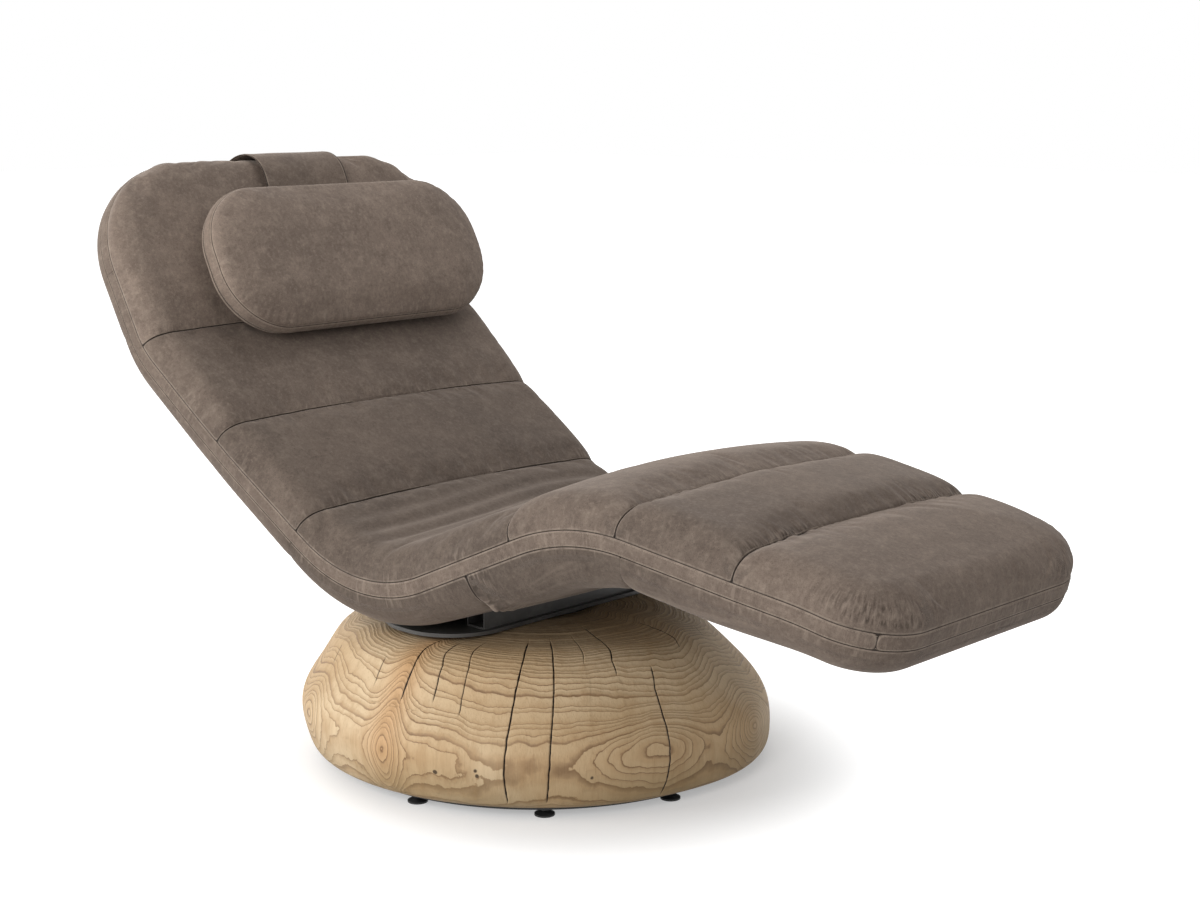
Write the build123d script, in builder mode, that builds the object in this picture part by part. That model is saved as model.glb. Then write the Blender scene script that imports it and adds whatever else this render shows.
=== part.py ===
from build123d import *
import os
from math import cos, pi, radians, sin, sqrt

os.makedirs("parts", exist_ok=True)

# All lengths are in millimetres and all slopes in degrees. X runs towards the foot end,
# Y across the seat and Z up. The floor is at zero and the origin is under the middle of the
# overall length. The swivel axis stands a little nearer the head end.
swivel_x = -45.0

# Side line of the lounger: the upper edge seam as straight runs joined by arcs.
dip_vertex_x = -75.0
dip_vertex_z = 303.0
lower_back_length, lower_back_slope = 390.0, 32.8
upper_back_length, upper_back_slope = 232.0, 38.7
head_length, head_slope = 340.0, 63.0
rise_length, rise_slope = 470.0, 24.0
leg_length, leg_slope = 400.0, 9.1
foot_length, foot_slope = 134.0, 13.4
neck_radius, back_radius, dip_radius, knee_radius, ankle_radius = 160.0, 1400.0, 270.0, 360.0, 700.0

# Lengths of the channel pads along that line, from the head end, and the half widths at their seams.
head_pad_length, shoulder_pad_length, lumbar_pad_length = 333.0, 231.0, 228.0
seat_pad_length, thigh_pad_length, calf_pad_length = 496.0, 202.0, 205.0
head_half_width, neck_half_width, shoulder_half_width, lumbar_half_width = 392.0, 377.0, 359.0, 348.0
thigh_half_width, calf_half_width, ankle_half_width, foot_half_width = 318.0, 301.0, 287.0, 266.0
head_corner_radius = 192.0
foot_corner_radius = 95.0

# Padding: how far the pads stand above the seam line, and how deep the underside is below the band.
crown_height = 68.0
valley_height = 50.0
end_height = 22.0
valley_inset = 4.0
shoulder_inset = 60.0
shoulder_height_share = 0.74
band_depth = 24.0
band_thickness = 12.0
trim_depth = 3.0
head_end_depth, back_depth, seat_depth = 16.0, 42.0, 50.0
pouch_depth, leg_depth, foot_depth, foot_end_depth = 68.0, 58.0, 50.0, 15.0
belly_depth = 6.0
end_run = 78.0
hood_length = 298.0
pouch_after, pouch_length = 390.0, 322.0

# Shell and frame inside the band.
shell_thickness = 10.0
layer_gap = 0.3
frame_thickness = 13.0
rail_width, rail_pitch = 50.0, 400.0
crossbar_width = 40.0
frame_end_margin = 70.0
crossbar_shares = (0.04, 0.24, 0.42, 0.60, 0.78, 0.97)

# Timber base.
foot_height = 14.0
base_plate_thickness = 6.0
base_plate_radius = 356.0
base_height = 226.0
base_widest_radius = 384.0
recess_radius = 80.0

# Levelling feet.
foot_count = 10
foot_circle_radius, foot_circle_turn = 338.0, -9.0
foot_pad_radius, foot_pad_height = 16.0, 8.0
stud_radius, stud_length = 5.0, 40.0
foot_nut_across, foot_nut_height = 17.0, 5.0
base_screw_count = 8
base_screw_circle_radius = 230.0
wood_screw_radius, wood_screw_length, wood_screw_head_radius = 2.5, 30.0, 5.0
hole_clearance = 0.3

# Swivel.
swivel_plate_radius, swivel_plate_thickness = 76.0, 6.0
race_inner_radius, race_outer_radius, race_thickness = 44.0, 66.0, 8.0
ball_radius, ball_count, ball_clearance = 5.0, 12, 0.2
race_gap = 6.0
turning_gap = 1.5
cage_inset, cage_thickness = 3.0, 2.0
spindle_radius, spindle_clearance = 12.0, 0.05
spindle_flange_radius, spindle_flange_height = 20.0, 4.0
washer_radius, washer_thickness, washer_gap = 22.0, 3.0, 0.3
spindle_nut_across, spindle_nut_height = 36.0, 10.0
lower_screw_count, lower_screw_circle_radius = 6, 32.0

# Seat plate and the beams that carry the frame.
seat_plate_length, seat_plate_width, seat_plate_corner = 220.0, 560.0, 100.0
seat_plate_front = 78.0
seat_plate_thickness = 6.0
beam_width, beam_length, beam_wall = 40.0, 400.0, 3.0
beam_front_x, beam_rear_x = 48.0, -112.0
pocket_length, pocket_width, pocket_front = 212.0, 420.0, 74.0
plate_screw_radius, plate_screw_length, plate_screw_head_radius = 4.0, 18.0, 8.0
plate_screw_spacing = 340.0
beam_reach = 150.0
underside_gap = 0.3

# Headrest, its strap and its counterweight. Places are measured up the head slope from the neck, and
# they lie a little to the left of the middle.
headrest_travel, headrest_shift = 80.0, 35.0
pillow_width, pillow_height, pillow_thickness = 606.0, 267.0, 86.0
pillow_corner_radius = 117.0
pillow_centre_up = 101.0
sleeve_height, sleeve_thickness, sleeve_gap = 130.0, 8.0, 0.5
pillow_inset_shares = (0.28, 0.14, 0.05, 0.01, 0.0, 0.02, 0.07, 0.16, 0.29, 0.46, 0.65, 0.85)
pillow_level_shares = (0.0, 0.07, 0.16, 0.28, 0.42, 0.56, 0.69, 0.80, 0.885, 0.945, 0.98, 1.0)
board_width, board_height, board_thickness = 400.0, 140.0, 6.0
strap_width, strap_thickness, strap_gap, strap_back_gap = 190.0, 3.0, 0.5, 1.5
strap_nose_gap, strap_front_bend, strap_back_bend, strap_cover = 3.0, 60.0, 40.0, 10.0
pouch_width, pouch_thickness, pouch_wall = 200.0, 28.0, 5.0
pouch_corner_radius, pouch_edge_radius = 14.0, 8.0
pouch_up = 172.0
cut_overrun = 5.0
side_reach = head_half_width + cut_overrun

# Heights of the stacked pieces, from the floor up.
plate_bottom = foot_height
timber_bottom = plate_bottom + base_plate_thickness
base_top = timber_bottom + base_height
recess_depth = 2 * (swivel_plate_thickness + race_thickness) + race_gap - turning_gap
recess_floor = base_top - recess_depth
lower_plate_top = recess_floor + swivel_plate_thickness
lower_race_top = lower_plate_top + race_thickness
ball_level = lower_race_top + race_gap / 2
upper_race_bottom = lower_race_top + race_gap
upper_race_top = upper_race_bottom + race_thickness
upper_plate_top = upper_race_top + swivel_plate_thickness
plate_top = upper_plate_top + seat_plate_thickness


def level(height):
    """Plane across the swivel axis at a height over the floor."""
    return Plane((swivel_x, 0, height))


# The side line. Points and arcs are written once for any depth under the upper seam. Layers run
# a little past both ends, so that they cut cleanly.
def run(point, length, slope):
    return (point[0] + length * cos(radians(slope)), point[1] + length * sin(radians(slope)))


dip = (swivel_x + dip_vertex_x, dip_vertex_z)
shoulder = run(dip, -lower_back_length, -lower_back_slope)
neck = run(shoulder, -upper_back_length, -upper_back_slope)
head_tip = run(neck, -head_length, -head_slope)
knee = run(dip, rise_length, rise_slope)
ankle = run(knee, leg_length, -leg_slope)
foot_tip = run(ankle, foot_length, -foot_slope)
side_points = [head_tip, neck, shoulder, dip, knee, ankle, foot_tip]
side_slopes = [-head_slope, -upper_back_slope, -lower_back_slope, rise_slope, -leg_slope, -foot_slope]
side_radii = [neck_radius, back_radius, dip_radius, knee_radius, ankle_radius]
bend_signs = [1 if after > before else -1 for before, after in zip(side_slopes, side_slopes[1:])]


def depth_points(depth):
    points = []
    for i, (x, z) in enumerate(side_points):
        before = side_slopes[max(i - 1, 0)]
        after = side_slopes[min(i, len(side_slopes) - 1)]
        middle = radians((before + after) / 2)
        drop = depth / cos(radians((after - before) / 2))
        points.append((x + drop * sin(middle), z - drop * cos(middle)))
    points[0] = run(points[0], -cut_overrun, side_slopes[0])
    points[-1] = run(points[-1], cut_overrun, side_slopes[-1])
    return points


def depth_radii(depth):
    return [radius + sign * depth for radius, sign in zip(side_radii, bend_signs)]


with BuildLine(Plane.XZ) as side_line:
    FilletPolyline(*side_points, radius=side_radii)
side_wire = side_line.wires()[0]
line_length = side_wire.length


def layer_face(top, bottom):
    """Side view face between two depths under the upper seam, in its own plane."""
    with BuildSketch() as layer:
        with BuildLine():
            upper = FilletPolyline(*depth_points(top), radius=depth_radii(top))
            lower = FilletPolyline(*depth_points(bottom), radius=depth_radii(bottom))
            Line(upper @ 0, lower @ 0)
            Line(upper @ 1, lower @ 1)
        make_face()
    return layer.sketch_local


def section_plane(station):
    """Plane across the seat at a distance along the side line: its X is Y, its Y points up."""
    share = station / line_length
    place = side_wire.position_at(share)
    tangent = side_wire.tangent_at(share)
    if tangent.X < 0:
        tangent = tangent * -1
    return Plane(origin=place, x_dir=(0, 1, 0), z_dir=tangent)


def layer_block(top, bottom):
    """The layer between two depths, as wide as the seat and more."""
    with BuildPart() as block:
        with BuildSketch(Plane.XZ):
            add(layer_face(top, bottom))
        extrude(amount=side_reach, both=True)
    return block.part


band_block = layer_block(0, band_depth)

# Half width along the line, with the rounded corners of the two ends.
neck_at = head_pad_length
shoulder_at = neck_at + shoulder_pad_length
lumbar_at = shoulder_at + lumbar_pad_length
thigh_at = lumbar_at + seat_pad_length
calf_at = thigh_at + thigh_pad_length
ankle_at = calf_at + calf_pad_length
width_stations = [0, neck_at, shoulder_at, lumbar_at, thigh_at, calf_at, ankle_at, line_length]
half_widths = [
    head_half_width, neck_half_width, shoulder_half_width, lumbar_half_width,
    thigh_half_width, calf_half_width, ankle_half_width, foot_half_width,
]


def between(stations, values, station):
    for i in range(len(stations) - 1):
        if station <= stations[i + 1]:
            share = (station - stations[i]) / (stations[i + 1] - stations[i])
            return values[i] + (values[i + 1] - values[i]) * share
    return values[-1]


def corner_loss(distance, radius):
    if distance >= radius:
        return 0
    return radius - sqrt(max(radius ** 2 - (radius - distance) ** 2, 0))


def half_width(station):
    width = between(width_stations, half_widths, station)
    return (width - corner_loss(station, head_corner_radius)
            - corner_loss(line_length - station, foot_corner_radius))


def padded_section(station, foot_level, side_height, middle_height, inset, edge_inset=0):
    """Cushion section with a flat foot, a round shoulder on each side and a crown."""
    wide = half_width(station) - edge_inset
    turn_share = 0.26
    with BuildSketch(section_plane(station)) as section:
        with BuildLine():
            Line((-wide, foot_level), (wide, foot_level))
            for side in (1, -1):
                ThreePointArc(
                    (side * wide, foot_level),
                    (side * (wide - inset * turn_share), foot_level + side_height * (1 - turn_share)),
                    (side * (wide - inset), foot_level + side_height),
                )
            ThreePointArc(
                (inset - wide, foot_level + side_height),
                (0, foot_level + middle_height),
                (wide - inset, foot_level + side_height),
            )
        make_face()
    return section.sketch


# Channel pads: each is high in its middle and drawn down to the cross seams at its ends.
pad_stations = {
    "head_pad": (0, neck_at),
    "shoulder_pad": (neck_at, shoulder_at),
    "lumbar_pad": (shoulder_at, lumbar_at),
    "seat_pad": (lumbar_at, thigh_at),
    "thigh_pad": (thigh_at, calf_at),
    "calf_pad": (calf_at, ankle_at),
    "foot_pad": (ankle_at, line_length),
}
pad_swell_shares = (0, 0.09, 0.25, 0.5, 0.75, 0.91, 1)
seat_swell_shares = (0, 0.05, 0.15, 0.3, 0.45, 0.6, 0.75, 0.88, 0.96, 1)
head_end_shares = (0, 0.02, 0.06, 0.13, 0.22, 0.36, 0.55, 0.75, 0.93, 1)
foot_end_shares = (0, 0.09, 0.25, 0.5, 0.72, 0.86, 0.94, 0.98, 1)


def swell(share):
    return sqrt(1 - abs(2 * share - 1) ** 4)


def rise_over(distance, low, high):
    """Height of a rounded end, from its low edge to the full height."""
    reach = min(distance / end_run, 1)
    return low + (high - low) * sqrt(1 - (1 - reach) ** 2)


def pad_height(name, share, length):
    low_start = end_height if name == "head_pad" else valley_height
    low_end = end_height if name == "foot_pad" else valley_height
    if share <= 0.5 and name == "head_pad":
        return rise_over(share * length, end_height, crown_height)
    if share >= 0.5 and name == "foot_pad":
        return rise_over((1 - share) * length, end_height, crown_height)
    low = low_start if share < 0.5 else low_end
    return low + (crown_height - low) * swell(share)


for name, (start, finish) in pad_stations.items():
    shares = {"seat_pad": seat_swell_shares, "head_pad": head_end_shares,
              "foot_pad": foot_end_shares}.get(name, pad_swell_shares)
    with BuildPart() as pad:
        for share in shares:
            station = start + (finish - start) * share
            middle = pad_height(name, share, finish - start)
            add(padded_section(
                station, -trim_depth, middle * shoulder_height_share, middle,
                min(shoulder_inset, middle), valley_inset * (1 - swell(share))))
        loft()
        add(band_block, mode=Mode.SUBTRACT)
    pad.part.label = name
    export_step(pad.part, f"parts/{name}.step")
    print(name, round(pad.part.volume / 1e6, 2), "litres")

# Moulded shell outline: a slab as deep as the band, lofted through the same half widths.
slab_stations = [share * head_pad_length for share in head_end_shares]
slab_stations += [shoulder_at, lumbar_at, (lumbar_at + thigh_at) / 2, thigh_at, calf_at, ankle_at]
slab_stations += [ankle_at + (line_length - ankle_at) * share for share in foot_end_shares[1:]]
slab_stations.sort()


def slab(edge_inset, top, bottom):
    """Slab between two depths under the seam, drawn in from the edge on all sides."""
    with BuildPart() as body:
        for station in slab_stations:
            inside = edge_inset + station * (line_length - 2 * edge_inset) / line_length
            wide = half_width(station) - edge_inset
            with BuildSketch(section_plane(inside)) as section:
                with Locations((0, -(top + bottom) / 2)):
                    Rectangle(2 * wide, bottom - top)
        loft()
    return body.part


outer_slab = slab(0, -cut_overrun, band_depth + cut_overrun)
core_slab = slab(band_thickness, -2 * cut_overrun, band_depth + 2 * cut_overrun)
shell_slab = slab(band_thickness + layer_gap, -cut_overrun, band_depth + cut_overrun)
head_cut = section_plane(head_corner_radius)
foot_cut = section_plane(line_length - foot_corner_radius * (1 - cos(pi / 4)))

# The leather side band, in the lengths that it is sewn from.
with BuildPart() as band:
    add(outer_slab)
    add(core_slab, mode=Mode.SUBTRACT)
    add(layer_block(layer_gap, band_depth - layer_gap), mode=Mode.INTERSECT)
with BuildPart() as band_head:
    add(band.part)
    split(bisect_by=head_cut, keep=Keep.BOTTOM)
band_head.part.label = "band_head"
export_step(band_head.part, "parts/band_head.step")

with BuildPart() as band_foot:
    add(band.part)
    split(bisect_by=foot_cut, keep=Keep.TOP)
band_foot.part.label = "band_foot"
export_step(band_foot.part, "parts/band_foot.step")

with BuildPart() as band_sides:
    add(band.part)
    split(bisect_by=head_cut, keep=Keep.TOP)
    split(bisect_by=foot_cut, keep=Keep.BOTTOM)
for name, half in (("band_left", Keep.BOTTOM), ("band_right", Keep.TOP)):
    with BuildPart() as band_side:
        add(band_sides.part)
        split(bisect_by=Plane.XZ, keep=half)
    band_side.part.label = name
    export_step(band_side.part, f"parts/{name}.step")

# Plywood shell, moulded to the side line and cut to the outline inside the band.
with BuildPart() as shell_panel:
    add(layer_block(layer_gap, layer_gap + shell_thickness))
    add(shell_slab, mode=Mode.INTERSECT)
shell_panel.part.label = "shell_panel"
export_step(shell_panel.part, "parts/shell_panel.step")

# Flat steel frame under the shell: two bent rails and the bars between them.
frame_top = 2 * layer_gap + shell_thickness
frame_bottom = frame_top + frame_thickness
frame_layer = layer_face(frame_top, frame_bottom)
frame_start, frame_finish = frame_end_margin, line_length - frame_end_margin
for name, side in (("frame_rail_left", 1), ("frame_rail_right", -1)):
    with BuildPart() as rail:
        with BuildSketch(Plane.XZ.offset(-side * (rail_pitch + rail_width) / 2)):
            add(frame_layer)
        extrude(amount=side * rail_width)
        split(bisect_by=section_plane(frame_start), keep=Keep.TOP)
        split(bisect_by=section_plane(frame_finish), keep=Keep.BOTTOM)
    rail.part.label = name
    export_step(rail.part, f"parts/{name}.step")

with BuildPart() as crossbar_slices:
    for share in crossbar_shares:
        station = frame_start + crossbar_width / 2
        station += share * (frame_finish - frame_start - crossbar_width)
        with BuildSketch(section_plane(station).offset(-crossbar_width / 2)):
            with Locations((0, -frame_bottom)):
                Rectangle(rail_pitch, 2 * frame_bottom)
        extrude(amount=crossbar_width)
with BuildPart() as frame_crossbars:
    with BuildSketch(Plane.XZ):
        add(frame_layer)
    extrude(amount=(rail_pitch - rail_width) / 2, both=True)
    add(crossbar_slices.part, mode=Mode.INTERSECT)
frame_crossbars.part.label = "frame_crossbars"
export_step(frame_crossbars.part, "parts/frame_crossbars.step")

# Underside panels, each a padded leather panel between two cross seams.
pouch_start_at, pouch_end_at = lumbar_at + pouch_after, lumbar_at + pouch_after + pouch_length
panel_stations = {
    "back_hood": (0, hood_length),
    "back_cover": (hood_length, lumbar_at),
    "seat_underside": (lumbar_at, pouch_start_at),
    "knee_pouch": (pouch_start_at, pouch_end_at),
    "leg_underside": (pouch_end_at, line_length),
}
depth_stations = [
    0, hood_length, shoulder_at, lumbar_at, pouch_start_at - end_run, pouch_start_at + end_run,
    pouch_end_at - end_run, pouch_end_at, line_length - 2 * end_run, line_length,
]
panel_depths = [
    back_depth, back_depth, back_depth, seat_depth, seat_depth, pouch_depth, pouch_depth,
    leg_depth, foot_depth, foot_depth,
]


def panel_depth(station):
    depth = between(depth_stations, panel_depths, station)
    depth = min(depth, rise_over(station, head_end_depth, depth))
    return min(depth, rise_over(line_length - station, foot_end_depth, depth))


panel_steps = 6
end_steps = 11


def panel_places(start, finish):
    """Stations across a panel, closer together at the rounded ends of the lounger."""
    at_head, at_foot = start == 0, finish == line_length
    steps = end_steps if at_head or at_foot else panel_steps
    places = []
    for i in range(steps + 1):
        share = i / steps
        if at_head:
            share = share ** 2
        if at_foot:
            share = 1 - (1 - share) ** 2
        places.append(start + (finish - start) * share)
    return places


with BuildPart() as seat_pocket:
    with BuildSketch(level(0)):
        with Locations((pocket_front - pocket_length / 2, 0)):
            Rectangle(pocket_length, pocket_width)
    extrude(amount=dip_vertex_z + side_reach)
with BuildPart() as under_seat:
    with BuildSketch(level(plate_top + underside_gap)):
        Rectangle(2 * side_reach, 2 * side_reach)
    extrude(amount=-side_reach)

for name, (start, finish) in panel_stations.items():
    with BuildPart() as panel:
        for station in panel_places(start, finish):
            depth = panel_depth(station)
            inset = min(shoulder_inset, depth)
            add(padded_section(
                station, trim_depth - band_depth, -depth - trim_depth, -depth - belly_depth - trim_depth,
                inset))
        loft()
        add(band_block, mode=Mode.SUBTRACT)
        if name == "seat_underside":
            add(seat_pocket.part, mode=Mode.SUBTRACT)
        if name in ("seat_underside", "knee_pouch"):
            add(under_seat.part, mode=Mode.SUBTRACT)
    panel.part.label = name
    export_step(panel.part, f"parts/{name}.step")
    print(name, round(panel.part.volume / 1e6, 2), "litres", len(panel.part.solids()), "solid")


# The timber pebble: smooth sections that lean towards the head end as they rise.
level_shares = (0.0, 0.05, 0.15, 0.34, 0.58, 0.77, 0.90, 0.975, 1.0)
radius_shares = (0.967, 0.988, 1.0, 1.0, 0.922, 0.833, 0.756, 0.674, 0.599)
lean_shares = (0.0, 0.01, 0.02, 0.04, 0.062, 0.085, 0.105, 0.118, 0.125)
lean_direction = 255.0
flat_share, flat_direction = 0.02, 129.0
outline_points = 12
with BuildPart() as wood_base:
    for level_share, radius_share, lean_share in zip(level_shares, radius_shares, lean_shares):
        radius = base_widest_radius * radius_share
        lean = base_widest_radius * lean_share
        centre_x, centre_y = lean * cos(radians(lean_direction)), lean * sin(radians(lean_direction))
        points = []
        for i in range(outline_points):
            turn = 360 / outline_points * i
            reach = radius * (1 - flat_share * cos(radians(2 * (turn - flat_direction))))
            points.append((centre_x + reach * cos(radians(turn)), centre_y + reach * sin(radians(turn))))
        with BuildSketch(level(timber_bottom + base_height * level_share)):
            with BuildLine():
                Spline(*points, periodic=True)
            make_face()
    loft()
    with BuildSketch(level(recess_floor)):
        Circle(recess_radius)
    extrude(amount=recess_depth + cut_overrun, mode=Mode.SUBTRACT)
    with BuildSketch(level(timber_bottom)):
        with PolarLocations(foot_circle_radius, foot_count, start_angle=foot_circle_turn):
            Circle(stud_radius + hole_clearance)
    extrude(amount=stud_length, mode=Mode.SUBTRACT)
    with BuildSketch(level(timber_bottom)):
        with PolarLocations(base_screw_circle_radius, base_screw_count):
            Circle(wood_screw_radius + hole_clearance)
    extrude(amount=wood_screw_length, mode=Mode.SUBTRACT)
    with BuildSketch(level(recess_floor)):
        with PolarLocations(lower_screw_circle_radius, lower_screw_count):
            Circle(wood_screw_radius + hole_clearance)
    extrude(amount=-wood_screw_length, mode=Mode.SUBTRACT)
wood_base.part.label = "wood_base"
export_step(wood_base.part, "parts/wood_base.step")
print("wood_base", round(wood_base.part.volume / 1e6, 2), "litres")

# Levelling feet, plate and screws under the timber.
def screws(plane, places, radius, head_radius, length):
    """Countersunk screws that go along the plane's Z from its surface."""
    with BuildPart(plane) as group:
        with Locations(*places):
            Cone(head_radius, radius, head_radius - radius, align=(Align.CENTER, Align.CENTER, Align.MIN))
            Cylinder(radius, length, align=(Align.CENTER, Align.CENTER, Align.MIN))
    return group.part


def around(radius, count, turn=0):
    angles = [radians(turn) + 2 * pi * i / count for i in range(count)]
    return [(radius * cos(angle), radius * sin(angle)) for angle in angles]


foot_places = around(foot_circle_radius, foot_count, foot_circle_turn)
base_screw_places = around(base_screw_circle_radius, base_screw_count)
lower_screw_places = around(lower_screw_circle_radius, lower_screw_count)
screw_hole_radius = wood_screw_radius + hole_clearance
screw_hole_head_radius = wood_screw_head_radius + hole_clearance

with BuildPart() as base_plate:
    with BuildSketch(level(plate_bottom)):
        Circle(base_plate_radius)
        with Locations(*foot_places):
            Circle(stud_radius + hole_clearance, mode=Mode.SUBTRACT)
    extrude(amount=base_plate_thickness)
    add(screws(level(plate_bottom), base_screw_places, screw_hole_radius, screw_hole_head_radius,
               base_plate_thickness + cut_overrun), mode=Mode.SUBTRACT)
base_plate.part.label = "base_plate"
export_step(base_plate.part, "parts/base_plate.step")

base_plate_screws = screws(level(plate_bottom), base_screw_places, wood_screw_radius,
                           wood_screw_head_radius, wood_screw_length)
base_plate_screws.label = "base_plate_screws"
export_step(base_plate_screws, "parts/base_plate_screws.step")

pad_rim_share, pad_neck_share = 0.35, 0.45
with BuildPart() as foot_pads:
    for x, y in foot_places:
        with BuildSketch(Plane((swivel_x + x, y, 0), x_dir=(1, 0, 0), z_dir=(0, -1, 0))):
            with BuildLine():
                Polyline(
                    (0, 0), (foot_pad_radius, 0), (foot_pad_radius, foot_pad_height * pad_rim_share),
                    (foot_pad_radius * pad_neck_share, foot_pad_height), (0, foot_pad_height), close=True)
            make_face()
        revolve(axis=Axis((swivel_x + x, y, 0), (0, 0, 1)))
foot_pads.part.label = "foot_pads"
export_step(foot_pads.part, "parts/foot_pads.step")

with BuildPart() as foot_studs:
    with BuildSketch(level(foot_pad_height)):
        with Locations(*foot_places):
            Circle(stud_radius)
    extrude(amount=stud_length)
foot_studs.part.label = "foot_studs"
export_step(foot_studs.part, "parts/foot_studs.step")

with BuildPart() as foot_nuts:
    with BuildSketch(level(plate_bottom - foot_nut_height)):
        with Locations(*foot_places):
            RegularPolygon(foot_nut_across / 2, 6, major_radius=False)
            Circle(stud_radius + spindle_clearance, mode=Mode.SUBTRACT)
    extrude(amount=foot_nut_height)
foot_nuts.part.label = "foot_nuts"
export_step(foot_nuts.part, "parts/foot_nuts.step")

# Swivel, from the recess floor up: plate, race, balls in their cage, race, plate.
swivel_axis = Axis((swivel_x, 0, 0), (0, 0, 1))
race_pitch = (race_inner_radius + race_outer_radius) / 2

with BuildPart() as swivel_lower_plate:
    with BuildSketch(level(recess_floor)):
        Circle(swivel_plate_radius)
    extrude(amount=swivel_plate_thickness)
    add(screws(Plane((swivel_x, 0, lower_plate_top), z_dir=(0, 0, -1)), lower_screw_places,
               screw_hole_radius, screw_hole_head_radius, swivel_plate_thickness + cut_overrun),
        mode=Mode.SUBTRACT)
swivel_lower_plate.part.label = "swivel_lower_plate"
export_step(swivel_lower_plate.part, "parts/swivel_lower_plate.step")

swivel_lower_screws = screws(Plane((swivel_x, 0, lower_plate_top), z_dir=(0, 0, -1)), lower_screw_places,
                             wood_screw_radius, wood_screw_head_radius, wood_screw_length)
swivel_lower_screws.label = "swivel_lower_screws"
export_step(swivel_lower_screws, "parts/swivel_lower_screws.step")

for name, bottom in (("lower_race", lower_plate_top), ("upper_race", upper_race_bottom)):
    with BuildPart() as race:
        with BuildSketch(Plane.XZ):
            with Locations((swivel_x + race_pitch, bottom + race_thickness / 2)):
                Rectangle(race_outer_radius - race_inner_radius, race_thickness)
            with Locations((swivel_x + race_pitch, ball_level)):
                Circle(ball_radius + ball_clearance, mode=Mode.SUBTRACT)
        revolve(axis=swivel_axis)
    race.part.label = name
    export_step(race.part, f"parts/{name}.step")

ball_places = around(race_pitch, ball_count)
with BuildPart(level(ball_level)) as bearing_balls:
    with Locations(*ball_places):
        Sphere(ball_radius)
bearing_balls.part.label = "bearing_balls"
export_step(bearing_balls.part, "parts/bearing_balls.step")

with BuildPart() as ball_cage:
    with BuildSketch(level(ball_level - cage_thickness / 2)):
        Circle(race_outer_radius - cage_inset)
        Circle(race_inner_radius + cage_inset, mode=Mode.SUBTRACT)
        with Locations(*ball_places):
            Circle(ball_radius + ball_clearance, mode=Mode.SUBTRACT)
    extrude(amount=cage_thickness)
ball_cage.part.label = "ball_cage"
export_step(ball_cage.part, "parts/ball_cage.step")

with BuildPart() as swivel_upper_plate:
    with BuildSketch(level(upper_race_top)):
        Circle(swivel_plate_radius)
        Circle(spindle_radius + spindle_clearance, mode=Mode.SUBTRACT)
    extrude(amount=swivel_plate_thickness)
swivel_upper_plate.part.label = "swivel_upper_plate"
export_step(swivel_upper_plate.part, "parts/swivel_upper_plate.step")

washer_bottom = plate_top + washer_gap
washer_top = washer_bottom + washer_thickness
nut_top = washer_top + spindle_nut_height
with BuildPart() as swivel_spindle:
    with BuildSketch(level(lower_plate_top)):
        Circle(spindle_flange_radius)
    extrude(amount=spindle_flange_height)
    with BuildSketch(level(lower_plate_top)):
        Circle(spindle_radius)
    extrude(amount=nut_top - lower_plate_top)
swivel_spindle.part.label = "swivel_spindle"
export_step(swivel_spindle.part, "parts/swivel_spindle.step")

with BuildPart() as spindle_washer:
    with BuildSketch(level(washer_bottom)):
        Circle(washer_radius)
        Circle(spindle_radius + spindle_clearance, mode=Mode.SUBTRACT)
    extrude(amount=washer_thickness)
spindle_washer.part.label = "spindle_washer"
export_step(spindle_washer.part, "parts/spindle_washer.step")

with BuildPart() as spindle_nut:
    with BuildSketch(level(washer_top)):
        RegularPolygon(spindle_nut_across / 2, 6, major_radius=False)
        Circle(spindle_radius + spindle_clearance, mode=Mode.SUBTRACT)
    extrude(amount=spindle_nut_height)
spindle_nut.part.label = "spindle_nut"
export_step(spindle_nut.part, "parts/spindle_nut.step")

# Grey seat plate and the two beams that lift the frame off it.
plate_screw_places = [
    (x, side * plate_screw_spacing / 2) for x in (beam_front_x, beam_rear_x) for side in (1, -1)]
plate_hole_radius = plate_screw_radius + hole_clearance
with BuildPart() as seat_plate:
    with BuildSketch(level(upper_plate_top)):
        with Locations((seat_plate_front - seat_plate_length / 2, 0)):
            RectangleRounded(seat_plate_length, seat_plate_width, seat_plate_corner)
        Circle(spindle_radius + spindle_clearance, mode=Mode.SUBTRACT)
    extrude(amount=seat_plate_thickness)
    add(screws(level(upper_plate_top), plate_screw_places, plate_hole_radius,
               plate_screw_head_radius + hole_clearance, seat_plate_thickness + cut_overrun),
        mode=Mode.SUBTRACT)
seat_plate.part.label = "seat_plate"
export_step(seat_plate.part, "parts/seat_plate.step")

seat_plate_screws = screws(level(upper_plate_top), plate_screw_places, plate_screw_radius,
                           plate_screw_head_radius, plate_screw_length)
seat_plate_screws.label = "seat_plate_screws"
export_step(seat_plate_screws, "parts/seat_plate_screws.step")

beam_block = layer_block(frame_bottom + layer_gap, frame_bottom + beam_reach)
beam_bore_block = layer_block(frame_bottom + layer_gap + beam_wall, frame_bottom + beam_reach)
for name, middle in (("mount_beam_front", beam_front_x), ("mount_beam_rear", beam_rear_x)):
    with BuildPart() as beam_bore:
        add(beam_bore_block)
        with BuildSketch(level(plate_top + beam_wall)):
            with Locations((middle, 0)):
                Rectangle(beam_width - 2 * beam_wall, 2 * side_reach)
        extrude(amount=beam_reach, mode=Mode.INTERSECT)
    with BuildPart() as beam:
        add(beam_block)
        with BuildSketch(level(plate_top)):
            with Locations((middle, 0)):
                Rectangle(beam_width, beam_length)
        extrude(amount=beam_reach, mode=Mode.INTERSECT)
        add(beam_bore.part, mode=Mode.SUBTRACT)
        with BuildSketch(level(plate_top)):
            with Locations(*plate_screw_places):
                Circle(plate_hole_radius)
        extrude(amount=beam_wall, mode=Mode.SUBTRACT)
    beam.part.label = name
    export_step(beam.part, f"parts/{name}.step")

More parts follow.
